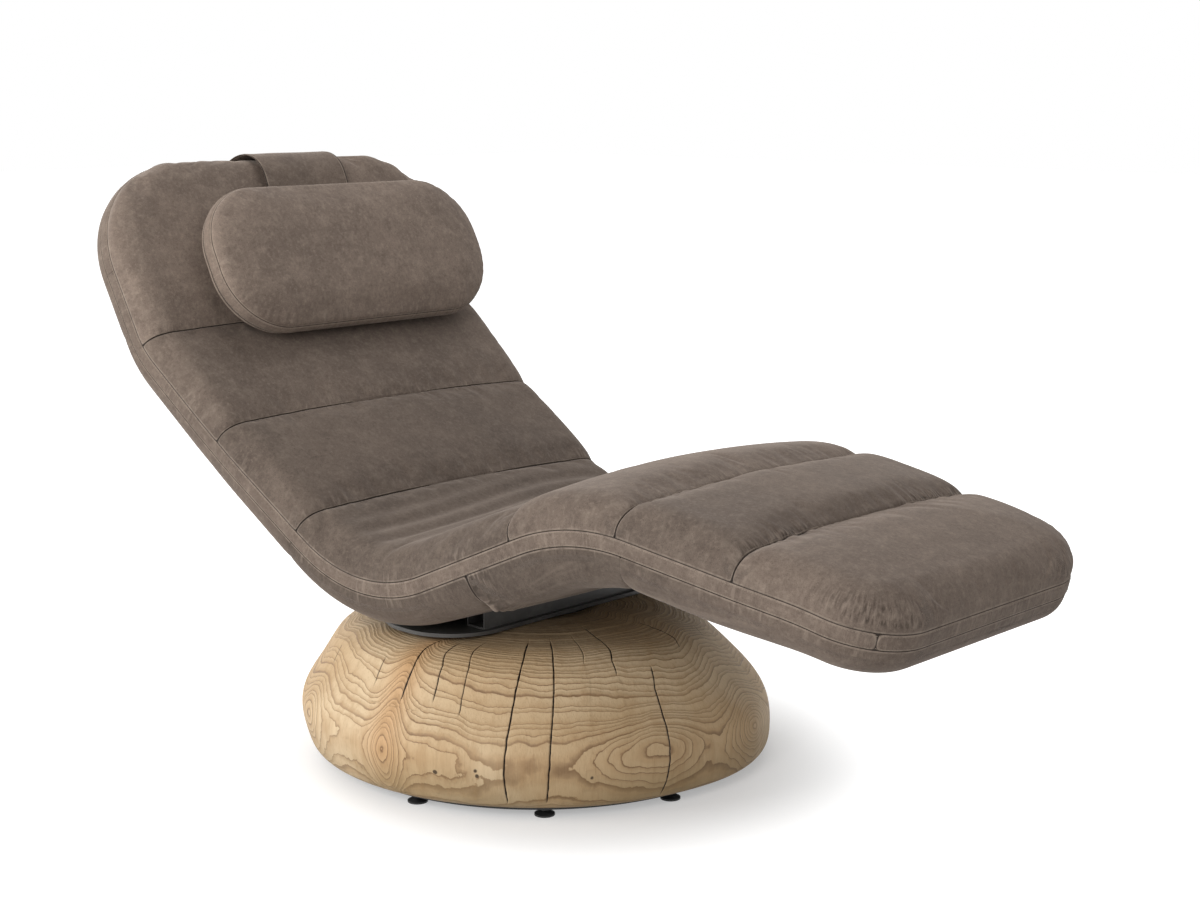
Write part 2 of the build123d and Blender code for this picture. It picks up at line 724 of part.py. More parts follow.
# Headrest. Its plane lies on the head slope at the neck: X across the seat, Y up the slope.
head_normal = (sin(radians(head_slope)), 0, cos(radians(head_slope)))
head_plane = Plane(origin=(neck[0], headrest_shift, neck[1]), x_dir=(0, 1, 0), z_dir=head_normal)
strap_front_level = crown_height + strap_gap
sleeve_level = strap_front_level + strap_thickness + sleeve_gap
pillow_level = sleeve_level + sleeve_thickness
with BuildPart() as headrest_pillow:
    for level_share, inset_share in zip(pillow_level_shares, pillow_inset_shares):
        inset = pillow_thickness * inset_share
        with BuildSketch(head_plane.offset(pillow_level + pillow_thickness * level_share)):
            with Locations((0, pillow_centre_up)):
                RectangleRounded(pillow_width - 2 * inset, pillow_height - 2 * inset,
                                 pillow_corner_radius - inset)
    loft()
    with BuildSketch(head_plane.offset(pillow_level)):
        with Locations((0, pillow_centre_up)):
            Rectangle(board_width + 2 * layer_gap, board_height + 2 * layer_gap)
    extrude(amount=board_thickness + layer_gap, mode=Mode.SUBTRACT)
headrest_pillow.part.label = "headrest_pillow"
export_step(headrest_pillow.part, "parts/headrest_pillow.step")

with BuildPart() as headrest_board:
    with BuildSketch(head_plane.offset(pillow_level)):
        with Locations((0, pillow_centre_up)):
            Rectangle(board_width, board_height)
    extrude(amount=board_thickness)
headrest_board.part.label = "headrest_board"
export_step(headrest_board.part, "parts/headrest_board.step")

with BuildPart() as strap_sleeve:
    with BuildSketch(head_plane.offset(sleeve_level)):
        with Locations((0, pillow_centre_up)):
            RectangleRounded(strap_width + sleeve_thickness, sleeve_height, sleeve_thickness)
    extrude(amount=sleeve_thickness)
strap_sleeve.part.label = "strap_sleeve"
export_step(strap_sleeve.part, "parts/strap_sleeve.step")


# The strap runs from behind the pillow over the head end and down the back to the counterweight.
# Its two ends stay covered over the whole travel.
pouch_height = headrest_travel + 2 * strap_cover
strap_front_up = pillow_centre_up - sleeve_height / 2 + headrest_travel
strap_back_up = pouch_up - pouch_height / 2 + strap_cover
strap_back_level = -(band_depth + back_depth + belly_depth + strap_back_gap)
nose_up = head_length + strap_nose_gap


def strap_edge(out):
    top, back, nose = strap_front_level + out, strap_back_level - out, nose_up + out
    return FilletPolyline(
        (strap_front_up, top), (nose, top), (nose, back), (strap_back_up, back),
        radius=[strap_front_bend + out, strap_back_bend + out])


with BuildPart() as headrest_strap:
    with BuildSketch(Plane(origin=head_plane.origin, x_dir=head_plane.y_dir, z_dir=(0, 1, 0))):
        with BuildLine():
            inner = strap_edge(0)
            outer = strap_edge(strap_thickness)
            Line(inner @ 0, outer @ 0)
            Line(inner @ 1, outer @ 1)
        make_face()
    extrude(amount=strap_width / 2, both=True)
headrest_strap.part.label = "headrest_strap"
export_step(headrest_strap.part, "parts/headrest_strap.step")

pouch_level = strap_back_level - strap_thickness - strap_gap
with BuildPart() as counterweight_pouch:
    with BuildSketch(head_plane.offset(pouch_level)):
        with Locations((0, pouch_up)):
            RectangleRounded(pouch_width, pouch_height, pouch_corner_radius)
    extrude(amount=-pouch_thickness)
    back_face = counterweight_pouch.faces().sort_by(Axis(head_plane.origin, head_normal))[0]
    fillet(back_face.edges(), pouch_edge_radius)
    with BuildSketch(head_plane.offset(pouch_level)):
        with Locations((0, pouch_up)):
            Rectangle(pouch_width - 2 * pouch_wall, pouch_height - 2 * pouch_wall)
    extrude(amount=pouch_wall - pouch_thickness, mode=Mode.SUBTRACT)
counterweight_pouch.part.label = "counterweight_pouch"
export_step(counterweight_pouch.part, "parts/counterweight_pouch.step")

with BuildPart() as counterweight_bar:
    with BuildSketch(head_plane.offset(pouch_level - layer_gap)):
        with Locations((0, pouch_up)):
            Rectangle(pouch_width - 2 * (pouch_wall + layer_gap), pouch_height - 2 * (pouch_wall + layer_gap))
    extrude(amount=pouch_wall - pouch_thickness + 2 * layer_gap)
counterweight_bar.part.label = "counterweight_bar"
export_step(counterweight_bar.part, "parts/counterweight_bar.step")
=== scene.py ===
from math import cos, hypot, pi, radians, sin, tan
import bmesh
import bpy
import numpy as np
from mathutils import Matrix, Vector, noise
from mathutils.bvhtree import BVHTree


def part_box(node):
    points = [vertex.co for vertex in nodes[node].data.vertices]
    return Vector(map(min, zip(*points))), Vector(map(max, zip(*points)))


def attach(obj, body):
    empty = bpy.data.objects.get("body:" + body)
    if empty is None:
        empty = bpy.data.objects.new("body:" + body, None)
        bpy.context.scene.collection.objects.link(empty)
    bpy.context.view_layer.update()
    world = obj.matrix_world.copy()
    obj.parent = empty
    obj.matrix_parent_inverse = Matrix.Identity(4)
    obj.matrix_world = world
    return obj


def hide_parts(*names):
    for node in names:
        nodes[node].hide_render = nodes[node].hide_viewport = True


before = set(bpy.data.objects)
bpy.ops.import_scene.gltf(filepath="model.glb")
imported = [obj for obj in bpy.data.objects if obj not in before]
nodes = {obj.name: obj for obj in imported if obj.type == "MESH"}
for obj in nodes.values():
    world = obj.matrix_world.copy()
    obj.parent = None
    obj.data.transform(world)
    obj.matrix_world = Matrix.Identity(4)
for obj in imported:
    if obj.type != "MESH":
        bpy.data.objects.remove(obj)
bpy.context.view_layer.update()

# Studio camera. It stands in front of the foot end on the right, a little over the pillow, and looks
# down along the seat with a long lens. Cracks, knots and creases are placed along its lines of sight.
swivel_x = -0.045
lens_mm, sensor_mm = 60.0, 36.0
photo_width, photo_height = 1200, 899
camera_place = Vector((swivel_x + 2.303, -2.323, 1.114))
look = Vector((-0.6714, 0.7186, -0.1817)).normalized()
to_right = Vector((0.7307, 0.6827, 0.0)).normalized()
to_top = to_right.cross(look)
camera = bpy.data.objects.new("studio_camera", bpy.data.cameras.new("studio_camera"))
camera.data.lens, camera.data.sensor_width = lens_mm, sensor_mm
camera.matrix_world = Matrix.Translation(camera_place) @ Matrix(
    (to_right, to_top, -look)).transposed().to_4x4()
bpy.context.scene.collection.objects.link(camera)
bpy.context.scene.camera = camera


def sight(px, py):
    """Direction from the camera through a point of the picture."""
    reach = photo_width * lens_mm / sensor_mm
    return (look * reach + to_right * (px - photo_width / 2) - to_top * (py - photo_height / 2)).normalized()


# Timber pebble. One block of a pale cedar log, standing as it grew, turned and carved to a leaning
# pebble and oiled. Its growth rings lie as contour lines on the slopes and close to eyes where the
# side bulges. It has dried with long radial checks.
timber_tree = BVHTree.FromPolygons(
    [v.co for v in nodes["wood_base"].data.vertices], [p.vertices for p in nodes["wood_base"].data.polygons])
timber_low, timber_high = (corner.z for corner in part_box("wood_base"))
recess_radius, recess_depth = 0.080, 0.0325
side_top, top_run, top_drop = timber_high - 0.0010, 0.15, 0.006


def side_radius(turn, height):
    """How far the timber reaches from the swivel axis, for a turn in degrees and a height on its side."""
    out = Vector((cos(radians(turn)), sin(radians(turn)), 0))
    axis = Vector((swivel_x, 0, height))
    hit = timber_tree.ray_cast(axis + out * 0.7, -out)[0]
    return (hit - axis).length if hit else recess_radius


def turn_and_level(px, py):
    """Where a line of sight meets the timber: turn in degrees, and level. Levels go on over the top edge."""
    hit = timber_tree.ray_cast(camera_place, sight(px, py))[0]
    turn = np.degrees(np.arctan2(hit.y, hit.x - swivel_x))
    if hit.z < side_top:
        return turn, hit.z
    edge = side_radius(turn, side_top)
    return turn, timber_high + top_run * (edge - hypot(hit.x - swivel_x, hit.y)) / (edge - recess_radius)


def turn_gap(turn, other):
    """From one turn to another in degrees, the short way round."""
    return (turn - other + 180) % 360 - 180


def all_round(at, turns, values):
    """Values between turns in degrees that go up from 0 to 360, with the last turn next to the first."""
    return np.interp(at, np.concatenate((turns[-1:] - 360, turns, turns[:1] + 360)),
                     np.concatenate((values[-1:], values, values[:1])))


def near(gap, width):
    """1 at no gap at all, and softly less the wider the gap is."""
    return np.exp(-(gap / width) ** 2)


# Checks that face the photo's view, as points of the picture from the top down. Each also says how open it
# is and how far it goes on over the top edge, straight towards the middle.
seen_checks = [
    (0.3, 0.0, [(345, 640), (337, 655), (331, 668)]),
    (0.35, 0.0, [(387, 655), (380, 670), (374, 685)]),
    (1.0, 0.02, [(426, 645), (414, 666), (406, 686), (401, 700)]),
    (0.7, 0.02, [(446, 650), (443, 664), (438, 682), (433, 702)]),
    (0.5, 0.03, [(474, 648), (469, 668), (463, 694), (459, 716)]),
    (1.0, 0.035, [(524, 655), (521, 668), (516, 690), (512, 712), (507, 740), (504, 765), (504, 780),
                  (508, 803)]),
    (0.9, 0.03, [(553, 655), (554, 690), (553, 716), (551, 739), (549, 775), (547, 803)]),
    (0.35, 0.03, [(583, 650), (584, 662)]),
    (0.9, 0.07, [(610, 647), (612, 660), (617, 675)]),
    (1.0, 0.0, [(651, 666), (655, 689), (662, 712), (669, 739), (670, 762), (667, 780), (660, 794)]),
    (0.9, 0.03, [(674, 636), (680, 648)]),
    (0.5, 0.0, [(694, 625), (705, 639)]),
]
checks = []
for strength, over_top, path in seen_checks:
    path = [turn_and_level(*point) for point in path]
    checks.append((strength, [(path[0][0], side_top + over_top)] * (over_top > 0) + path))
# Those of the hidden side: turn, top, bottom, how far the check drifts round on its way down, how open it is.
hidden_checks = [(58, 0.236, 0.11, 5, 0.8), (78, 0.29, 0.05, -4, 1.0), (98, 0.24, 0.16, 3, 0.6),
                 (120, 0.27, 0.04, 5, 0.9), (150, 0.238, 0.09, -5, 0.7), (181, 0.28, 0.05, 4, 1.0),
                 (204, 0.2, 0.13, -2, 0.4)]
for turn, top, bottom, drift, strength in hidden_checks:
    checks.append((strength, [(turn, top), (turn + drift * 0.6, (top + bottom) / 2), (turn + drift, bottom)]))
checks.sort(key=lambda check: check[1][0][0] % 360)
check_half_width, check_depth, check_fade, check_rim_shade = 0.0015, 0.009, 0.02, 0.10
rest_turns = np.array([path[0][0] % 360 for _, path in checks])
columns = list(np.arange(0, 360, 1.0))
for rest in rest_turns:
    columns = [c for c in columns if abs(turn_gap(c, rest)) > 0.62]
    columns += [rest - 0.5, rest - 0.17, rest, rest + 0.17, rest + 0.5]
columns = np.array(sorted(c % 360 for c in columns))
levels = timber_low + (side_top - timber_low) * (1 - (1 - np.linspace(0, 1, 130)) ** 1.7)
top_shares = (0.03, 0.08, 0.15, 0.25, 0.38, 0.52, 0.68, 0.84, 1)
levels = list(levels) + [timber_high + top_run * share for share in top_shares]

# Eyes of the grain: a point of the picture, how strong the ridge over it and the bulge at it are, and how far
# they go round and up. Those of the hidden side have a turn and a height instead of a point.
seen_eyes = [((382, 741), 0.022, 0.013, 3.6, 0.055), ((656, 746), 0.003, 0.034, 14, 0.040),
             ((752, 726), 0.010, 0.022, 8, 0.030), ((309, 711), 0.012, 0.020, 7, 0.040)]
hidden_eyes = [(20, 0.09, 0.008, 0.026, 9, 0.04), (58, 0.07, 0.012, 0.020, 7, 0.05),
               (97, 0.11, 0.010, 0.030, 9, 0.04), (140, 0.08, 0.012, 0.022, 11, 0.035),
               (186, 0.10, 0.014, 0.024, 8, 0.045), (225, 0.07, 0.010, 0.02, 6, 0.05)]
eyes = [(*turn_and_level(*place), *sizes) for place, *sizes in seen_eyes] + hidden_eyes
timber_points, ring_depth, check_dark, warm_band = [], [], [], []
for level in levels:
    own, hold_share, dig, wide = [], [], [], []
    for (strength, path), rest in zip(checks, rest_turns):
        turn, at = [t % 360 for t, _ in path][::-1], [z for _, z in path][::-1]
        own.append(np.interp(level, at, turn) + 0.12 * noise.noise(Vector((rest, level * 80, 3))))
        beyond = max(at[0] - level, level - at[-1], 0)
        hold_share.append(max(1 - beyond / check_fade, 0))
        fade = max(min((level - at[0]) / 0.014, (at[-1] - level) / 0.01, 1), 0) ** 0.6 * strength
        dig.append(fade * check_depth)
        wide.append(max(fade * (0.75 + 0.5 * noise.noise(Vector((rest, level * 130, 9)))), 0.10))
    shift = np.array(own) - rest_turns
    held = np.array([i for i, share in enumerate(hold_share) if share > 0.99], int)
    if len(held):
        carried = all_round(rest_turns, rest_turns[held], shift[held])
    else:
        carried = np.zeros(len(shift))
    shift = carried + (shift - carried) * np.array(hold_share)
    actual = rest_turns + shift
    bent = columns + all_round(columns, rest_turns, shift)
    for column, turn in zip(columns, bent):
        nearest = int(np.argmin(np.abs(turn_gap(rest_turns, column))))
        offset = turn_gap(column, rest_turns[nearest])
        radius, height = side_radius(turn, min(level, side_top)), min(level, timber_high)
        if level > timber_high:
            radius += (recess_radius - radius) * (level - timber_high) / top_run
        shown = turn
        if abs(offset) < 0.2:
            half_turn = np.degrees(check_half_width * wide[nearest] / radius)
            shown = actual[nearest] + np.sign(round(offset, 3)) * half_turn
        cut = dig[nearest] if abs(offset) < 0.05 else 0
        down = min(max((level - 0.19) / 0.05, 0), 1)
        sag = top_drop * min(max((radius - 0.12) / 0.10, 0), 1) ** 2 * min(max((height - 0.215) / 0.03, 0), 1)
        reach = radius - cut * (1 - 0.7 * down)
        timber_points.append((swivel_x + reach * cos(radians(shown)), reach * sin(radians(shown)),
                              height - cut * down - sag))
        away = [(turn_gap(turn, eye[0]), level - eye[1], *eye[2:]) for eye in eyes]
        ring_depth.append(radius + sum(
            near(aside, spread) * (ridge + bulge * near(above, tall))
            for aside, above, ridge, bulge, spread, tall in away))
        # Painted shade: dark in each check's groove, and a little on its rim columns.
        check_dark.append(1.0 if cut > 0 else check_rim_shade * (abs(offset) < 0.2 and dig[nearest] > 0.002))
        warm_band.append(near(away[0][0], 5) * min(max((level - 0.03) / 0.06, 0), 1))
wide_count, recess_lip = len(columns), 0.003
for height in (timber_high - recess_lip, timber_high - recess_depth):
    timber_points += [(x, y, height) for x, y, _ in timber_points[-wide_count:]]
    ring_depth += [recess_radius] * wide_count
    check_dark += [0.0] * wide_count
    warm_band += [0.0] * wide_count


def ring_faces(rings, size):
    """Faces between rings of points that follow each other. Each ring closes on itself."""
    return [(k * size + i, k * size + (i + 1) % size, (k + 1) * size + (i + 1) % size, (k + 1) * size + i)
            for k in range(rings - 1) for i in range(size)]


timber_faces = ring_faces(len(levels) + 2, wide_count)
timber_faces.append(tuple(len(timber_points) - wide_count + j for j in range(wide_count)))
timber_faces.append(tuple(reversed(range(wide_count))))


def made_piece(name, points, faces, material, body, slot, **marks):
    """A piece of the lounger from its points and faces, with values painted on its points.

    Points and values may be lists or grids in the same order.
    """
    mesh = bpy.data.meshes.new(name)
    mesh.from_pydata([tuple(p) for p in np.reshape(points, (-1, 3))], [], faces)
    for mark, values in marks.items():
        layer = mesh.attributes.new(mark, "FLOAT", "POINT")
        layer.data.foreach_set("value", np.ravel(values).astype(np.float32))
    mesh.materials.append(material)
    mesh.polygons.foreach_set("use_smooth", [True] * len(mesh.polygons))
    piece = bpy.data.objects.new(name, mesh)
    bpy.context.scene.collection.objects.link(piece)
    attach(piece, body)
    return piece


def facing_out(piece):
    """Turn every face of a closed piece to its outer side."""
    bm = bmesh.new()
    bm.from_mesh(piece.data)
    bmesh.ops.recalc_face_normals(bm, faces=bm.faces)
    bm.to_mesh(piece.data)
    bm.free()


class Surface:
    """A material being put together: nodes are added by kind and joined by socket name."""

    def __init__(self, name, tree=None):
        if tree is None:
            self.material = bpy.data.materials.new(name)
            self.material.use_nodes = True
            tree = self.material.node_tree
            self.shader = tree.nodes["Principled BSDF"]
        self.tree = tree

    def add(self, kind, settings=None, **inputs):
        node = self.tree.nodes.new(kind)
        for key, value in (settings or {}).items():
            setattr(node, key, value)
        for key, value in inputs.items():
            self.join(value, node, key)
        return node

    def join(self, value, node, key):
        socket = node.inputs[int(key[1:])] if key[0] == "i" and key[1:].isdigit() else node.inputs[
            key.replace("_", " ")]
        if isinstance(value, bpy.types.NodeSocket):
            self.tree.links.new(value, socket)
        else:
            socket.default_value = value

    def cloud(self, place, scale, detail=2.0, rough=0.5, stretch=None):
        if stretch:
            place = self.add("ShaderNodeMapping", Vector=place, Scale=stretch).outputs[0]
        return self.add("ShaderNodeTexNoise", Vector=place, Scale=scale, Detail=detail,
                        Roughness=rough).outputs["Fac"]

    def sums(self, kind, *values):
        node = self.add("ShaderNodeMath", {"operation": kind})
        for i, value in enumerate(values):
            self.join(value, node, f"i{i}")
        return node.outputs[0]

    def between(self, value, low, high, to_low=0.0, to_high=1.0):
        return self.add("ShaderNodeMapRange", {"interpolation_type": "SMOOTHSTEP"}, Value=value, From_Min=low,
                        From_Max=high, To_Min=to_low, To_Max=to_high).outputs[0]

    def mixed(self, share, first, second):
        node = self.add("ShaderNodeMix", {"data_type": "RGBA"})
        self.join(share, node, "i0")
        self.join(first, node, "i6")
        self.join(second, node, "i7")
        return node.outputs[2]

    def tinted(self, colour, pattern, low, high, share, shade):
        """A colour with a share of another tone over it, where a pattern goes from low to high."""
        return self.mixed(self.between(pattern, low, high, 0.0, share), colour, tone(*shade))

    def raised(self, relief, strength, depth):
        """Light catches a relief that goes up and down by depth."""
        bump = self.add("ShaderNodeBump", Strength=strength, Distance=depth, Height=relief)
        self.join(bump.outputs[0], self.shader, "Normal")

    def painted(self, name):
        return self.add("ShaderNodeAttribute", {"attribute_name": name}).outputs["Fac"]


def tone(red, green, blue):
    """A colour as read on a screen, 0 to 255, as linear light."""
    parts = [c / 255 for c in (red, green, blue)]
    return tuple(p / 12.92 if p <= 0.04045 else ((p + 0.055) / 1.055) ** 2.4 for p in parts) + (1.0,)


cedar = Surface("oiled_cedar")
place = cedar.add("ShaderNodeTexCoord").outputs["Object"]
slow = cedar.cloud(place, 8.0, 3.0)
quick_wave = cedar.cloud(place, 46.0, 3.0, 0.6)
depth = cedar.painted("ring_depth")
depth = cedar.sums("MULTIPLY_ADD", slow, 0.030, depth)
depth = cedar.sums("MULTIPLY_ADD", quick_wave, 0.0044, depth)
spread = cedar.add("ShaderNodeTexNoise", {"noise_dimensions": "1D"}, W=cedar.sums("MULTIPLY", depth, 70.0),
                   Scale=1.0, Detail=1.0).outputs["Fac"]
depth = cedar.sums("MULTIPLY_ADD", spread, 0.010, depth)
year = cedar.sums("FRACT", cedar.sums("DIVIDE", depth, 0.0068))
late = cedar.between(year, 0.25, 0.97)
line = cedar.sums("MULTIPLY", cedar.between(year, 0.78, 0.97), cedar.between(year, 0.975, 1.0, 1.0, 0.0))
patches = cedar.between(cedar.cloud(place, 9.0, 2.0), 0.30, 0.68)
line = cedar.sums("MULTIPLY", line, cedar.sums("MULTIPLY_ADD", patches, 0.5, 0.5))
fibre = cedar.cloud(place, 60.0, 4.0, 0.65, (1.0, 1.0, 0.07))
fine_fibre = cedar.cloud(place, 420.0, 2.0, 0.6, (1.0, 1.0, 0.05))
height = cedar.add("ShaderNodeSeparateXYZ", Vector=place).outputs["Z"]
colour = cedar.mixed(cedar.between(cedar.cloud(place, 5.0, 2.0), 0.35, 0.65), tone(217, 193, 158),
                     tone(200, 172, 134))
colour = cedar.mixed(cedar.sums("MULTIPLY", cedar.painted("warm_band"), 0.50), colour, tone(200, 146, 92))
colour = cedar.mixed(cedar.sums("MULTIPLY", late, 0.42), colour, tone(170, 134, 94))
colour = cedar.mixed(cedar.sums("MULTIPLY", line, 0.80), colour, tone(98, 68, 42))
colour = cedar.tinted(colour, fibre, 0.42, 0.75, 0.36, (168, 132, 92))
colour = cedar.tinted(colour, fine_fibre, 0.5, 0.8, 0.22, (120, 88, 56))
# Darker towards the bottom, more in some patches than in others.
darker_low = cedar.sums("MULTIPLY", cedar.between(height, 0.10, 0.02, 0.0, 1.0),
                   cedar.between(slow, 0.35, 0.65, 0.25, 0.6))
colour = cedar.mixed(darker_low, colour, tone(142, 120, 84))
seen_knots = [(435, 772), (475, 771), (477, 776), (592, 778)]
for spot in seen_knots:
    knot = timber_tree.ray_cast(camera_place, sight(*spot))[0]
    gap = cedar.add("ShaderNodeVectorMath", {"operation": "DISTANCE"}, i0=place, i1=tuple(knot))
    gap = cedar.sums("MULTIPLY_ADD", quick_wave, 0.006, gap.outputs["Value"])
    colour = cedar.mixed(cedar.between(gap, 0.0050, 0.0072, 0.9, 0.0), colour, tone(50, 36, 26))
# Painted shade in the checks, from the check shade on the points.
colour = cedar.mixed(cedar.between(cedar.painted("check_dark"), 0.03, 0.18), colour, tone(30, 18, 10))
cedar.join(colour, cedar.shader, "Base Color")
cedar.join(cedar.between(line, 0.0, 1.0, 0.62, 0.5), cedar.shader, "Roughness")
relief = cedar.sums("MULTIPLY_ADD", late, 0.9, cedar.sums("MULTIPLY_ADD", fine_fibre, 0.30, fibre))
cedar.raised(relief, 0.6, 0.0018)
cedar.shader.inputs["Specular IOR Level"].default_value = 0.3
timber = made_piece("timber_pebble", timber_points, timber_faces, cedar.material, "base", "timber",
                    ring_depth=ring_depth, check_dark=check_dark, warm_band=warm_band)
facing_out(timber)
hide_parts("wood_base")


# Steel plate, feet and swivel. A thin powder coated disc is screwed under the timber and carries ten
# levelling feet. Over it the ball bearing swivel sits in the timber's recess, under a grey seat plate.
# The steel frame and the moulded plywood shell are bolted on top.
wear_tree = bpy.data.node_groups.new("handling_wear", "ShaderNodeTree")
for socket, kind, fallback in (("Vector", "NodeSocketVector", None), ("Scale", "NodeSocketFloat", 30.0),
                               ("Amount", "NodeSocketFloat", 0.6), ("Colour", "NodeSocketColor", None),
                               ("Worn Colour", "NodeSocketColor", None)):
    made = wear_tree.interface.new_socket(socket, in_out="INPUT", socket_type=kind)
    if fallback is not None:
        made.default_value = fallback
wear_tree.interface.new_socket("Colour", in_out="OUTPUT", socket_type="NodeSocketColor")
wear_tree.interface.new_socket("Cloud", in_out="OUTPUT", socket_type="NodeSocketFloat")
wear = Surface("handling_wear", wear_tree)
given, result = wear.add("NodeGroupInput"), wear.add("NodeGroupOutput")
cloud = wear.add("ShaderNodeTexNoise", Vector=given.outputs["Vector"], Scale=given.outputs["Scale"], Detail=5.0,
                 Roughness=0.65).outputs["Fac"]
share = wear.sums("MULTIPLY", wear.between(cloud, 0.45, 0.75), given.outputs["Amount"])
wear.join(wear.mixed(share, given.outputs["Colour"], given.outputs["Worn Colour"]), result, "Colour")
wear.join(cloud, result, "Cloud")


def worn(surface, place, colour, worn_colour, scale, amount=0.6):
    """Cloudy handling marks over a plain finish."""
    return surface.add("ShaderNodeGroup", {"node_tree": wear_tree}, Vector=place, Scale=scale, Amount=amount,
                       Colour=colour, Worn_Colour=worn_colour).outputs


def finish_for(name, colour, worn_colour, scale, rough, metal, grain, grain_height):
    """A plain finish with handling marks, its two colours as read on a screen.

    scale says how fine the marks are, grain how fine the surface grain is, and grain_height how deep.
    """
    surface = Surface(name)
    place = surface.add("ShaderNodeTexCoord").outputs["Object"]
    marks = worn(surface, place, tone(*colour), tone(*worn_colour), scale)
    surface.join(marks["Colour"], surface.shader, "Base Color")
    roughness = surface.between(marks["Cloud"], 0.3, 0.8, rough - 0.08, rough + 0.1)
    surface.join(roughness, surface.shader, "Roughness")
    surface.shader.inputs["Metallic"].default_value = metal
    surface.raised(surface.cloud(place, grain, 2.0), 0.3, grain_height)
    return surface.material


black_coat = finish_for("black_powder_coat", (28, 28, 30), (52, 53, 56), 40.0, 0.38, 0.0, 1500.0, 0.0002)
black_plastic = finish_for("black_foot_plastic", (24, 24, 25), (46, 46, 48), 60.0, 0.5, 0.0, 900.0, 0.0002)
grey_coat = finish_for("dark_grey_coat", (66, 65, 63), (92, 90, 87), 25.0, 0.42, 0.0, 1200.0, 0.0002)
bearing_steel = finish_for("bearing_steel", (190, 190, 194), (140, 138, 136), 30.0, 0.3, 1.0, 700.0, 0.0001)
plywood = finish_for("birch_plywood", (196, 160, 118), (160, 122, 84), 18.0, 0.6, 0.0, 300.0, 0.0004)
for material, worn_by in (
        (black_coat, ("base_plate", "foot_studs", "foot_nuts")),
        (black_plastic, ("foot_pads", "ball_cage")),
        (grey_coat, ("swivel_lower_plate", "swivel_upper_plate", "seat_plate", "mount_beam_front",
                     "mount_beam_rear", "frame_rail_left", "frame_rail_right", "frame_crossbars")),
        (bearing_steel, ("base_plate_screws", "swivel_lower_screws", "lower_race", "upper_race",
                         "bearing_balls", "swivel_spindle", "spindle_washer", "spindle_nut",
                         "seat_plate_screws", "counterweight_bar")),
        (plywood, ("shell_panel", "headrest_board"))):
    for node in worn_by:
        nodes[node].data.materials.clear()
        nodes[node].data.materials.append(material)


# Channel pads. Seven pads of foam under one cover of matt nubuck, drawn down to the shell at the
# cross seams and sewn to the side band all round. The leather puckers where the seams pull it in.
dip = np.array((swivel_x - 0.075, 0.303))
side_runs = [(0.340, -63.0), (0.232, -38.7), (0.390, -32.8), (0.470, 24.0), (0.400, -9.1), (0.134, -13.4)]
bend_radii = [0.160, 1.400, 0.270, 0.360, 0.700]
head_corner, foot_corner = 0.192, 0.095
band_depth = 0.024


def run_step(run):
    """How far a straight run goes, along and up."""
    length, slope = run
    return length * np.array((cos(radians(slope)), sin(radians(slope))))


start = dip - sum(run_step(r) for r in side_runs[:3])
beyond_ends = 0.08
line_places = [start - beyond_ends * run_step((1, side_runs[0][1]))]
line_slopes, line_steps = [radians(side_runs[0][1])], [-beyond_ends]
corner, station, cut_before = start, 0.0, 0.0
for i, (length, slope) in enumerate(side_runs):
    angle = radians(slope)
    along = np.array((cos(angle), sin(angle)))
    cut_after = 0.0
    if i < len(bend_radii):
        turn = radians(side_runs[i + 1][1]) - angle
        cut_after = bend_radii[i] * tan(abs(turn) / 2)
    for share in np.linspace(0, 1, 40):
        reach = share * (length - cut_before - cut_after)
        line_places.append(corner + along * (cut_before + reach))
        line_slopes.append(angle)
        line_steps.append(station + reach)
    station += length - cut_before - cut_after
    corner = corner + along * length
    if cut_after:
        bend_start, sign = line_places[-1], np.sign(turn)
        for share in np.linspace(0, 1, 60)[1:]:
            now = angle + turn * share
            side = np.array((-sin(angle), cos(angle))) * sign * bend_radii[i]
            spoke = np.array((sin(now), -cos(now))) * sign * bend_radii[i]
            line_places.append(bend_start + side + spoke)
            line_slopes.append(now)
            line_steps.append(station + share * abs(turn) * bend_radii[i])
        station += abs(turn) * bend_radii[i]
    cut_before = cut_after
line_length = station
line_places.append(line_places[-1] + beyond_ends * run_step((1, side_runs[-1][1])))
line_slopes.append(line_slopes[-1])
line_steps.append(line_length + beyond_ends)
line_places, line_slopes, line_steps = (np.array(v) for v in (line_places, line_slopes, line_steps))


def on_line(station, across, lift):
    """A point of the lounger: distance along the side line, distance across, height over the seam."""
    x = np.interp(station, line_steps, line_places[:, 0])
    z = np.interp(station, line_steps, line_places[:, 1])
    slope = np.interp(station, line_steps, line_slopes)
    across = np.broadcast_to(across, np.shape(x + lift))
    return np.stack((x - np.sin(slope) * lift, across, z + np.cos(slope) * lift), axis=-1)


neck_at, shoulder_at, lumbar_at, thigh_at, calf_at, ankle_at = 0.333, 0.564, 0.792, 1.288, 1.490, 1.695
width_at = [0, neck_at, shoulder_at, lumbar_at, thigh_at, calf_at, ankle_at, line_length]
half_widths = [0.392, 0.377, 0.359, 0.348, 0.318, 0.302, 0.289, 0.266]


def loss(distance, radius):
    """How much a rounded corner takes off the width, at a distance from the end."""
    inside = np.clip(radius - distance, 0, radius)
    return radius - np.sqrt(radius ** 2 - inside ** 2)


def full_half(station):
    """Half the width at a station, as if the corners were square."""
    return np.interp(station, width_at, half_widths)


def half_width(station):
    """Half the width at a station, with its rounded corners."""
    return full_half(station) - loss(station, head_corner) - loss(line_length - station, foot_corner)


def edge_distance(station, across):
    """Distance inside the outline, rounded at the four corners."""
    side = full_half(station) - np.abs(across)
    distance = np.minimum(side, np.minimum(station, line_length - station))
    for reach, radius in ((station, head_corner), (line_length - station, foot_corner)):
        cornered = (reach < radius) & (side < radius)
        distance = np.where(cornered, radius - np.hypot(radius - reach, radius - side), distance)
    return np.maximum(distance, 0)


seam_stations = np.array([neck_at, shoulder_at, lumbar_at, thigh_at, calf_at, ankle_at])
valley, knee_fill, shoulder_run = 0.047, 0.013, 0.056
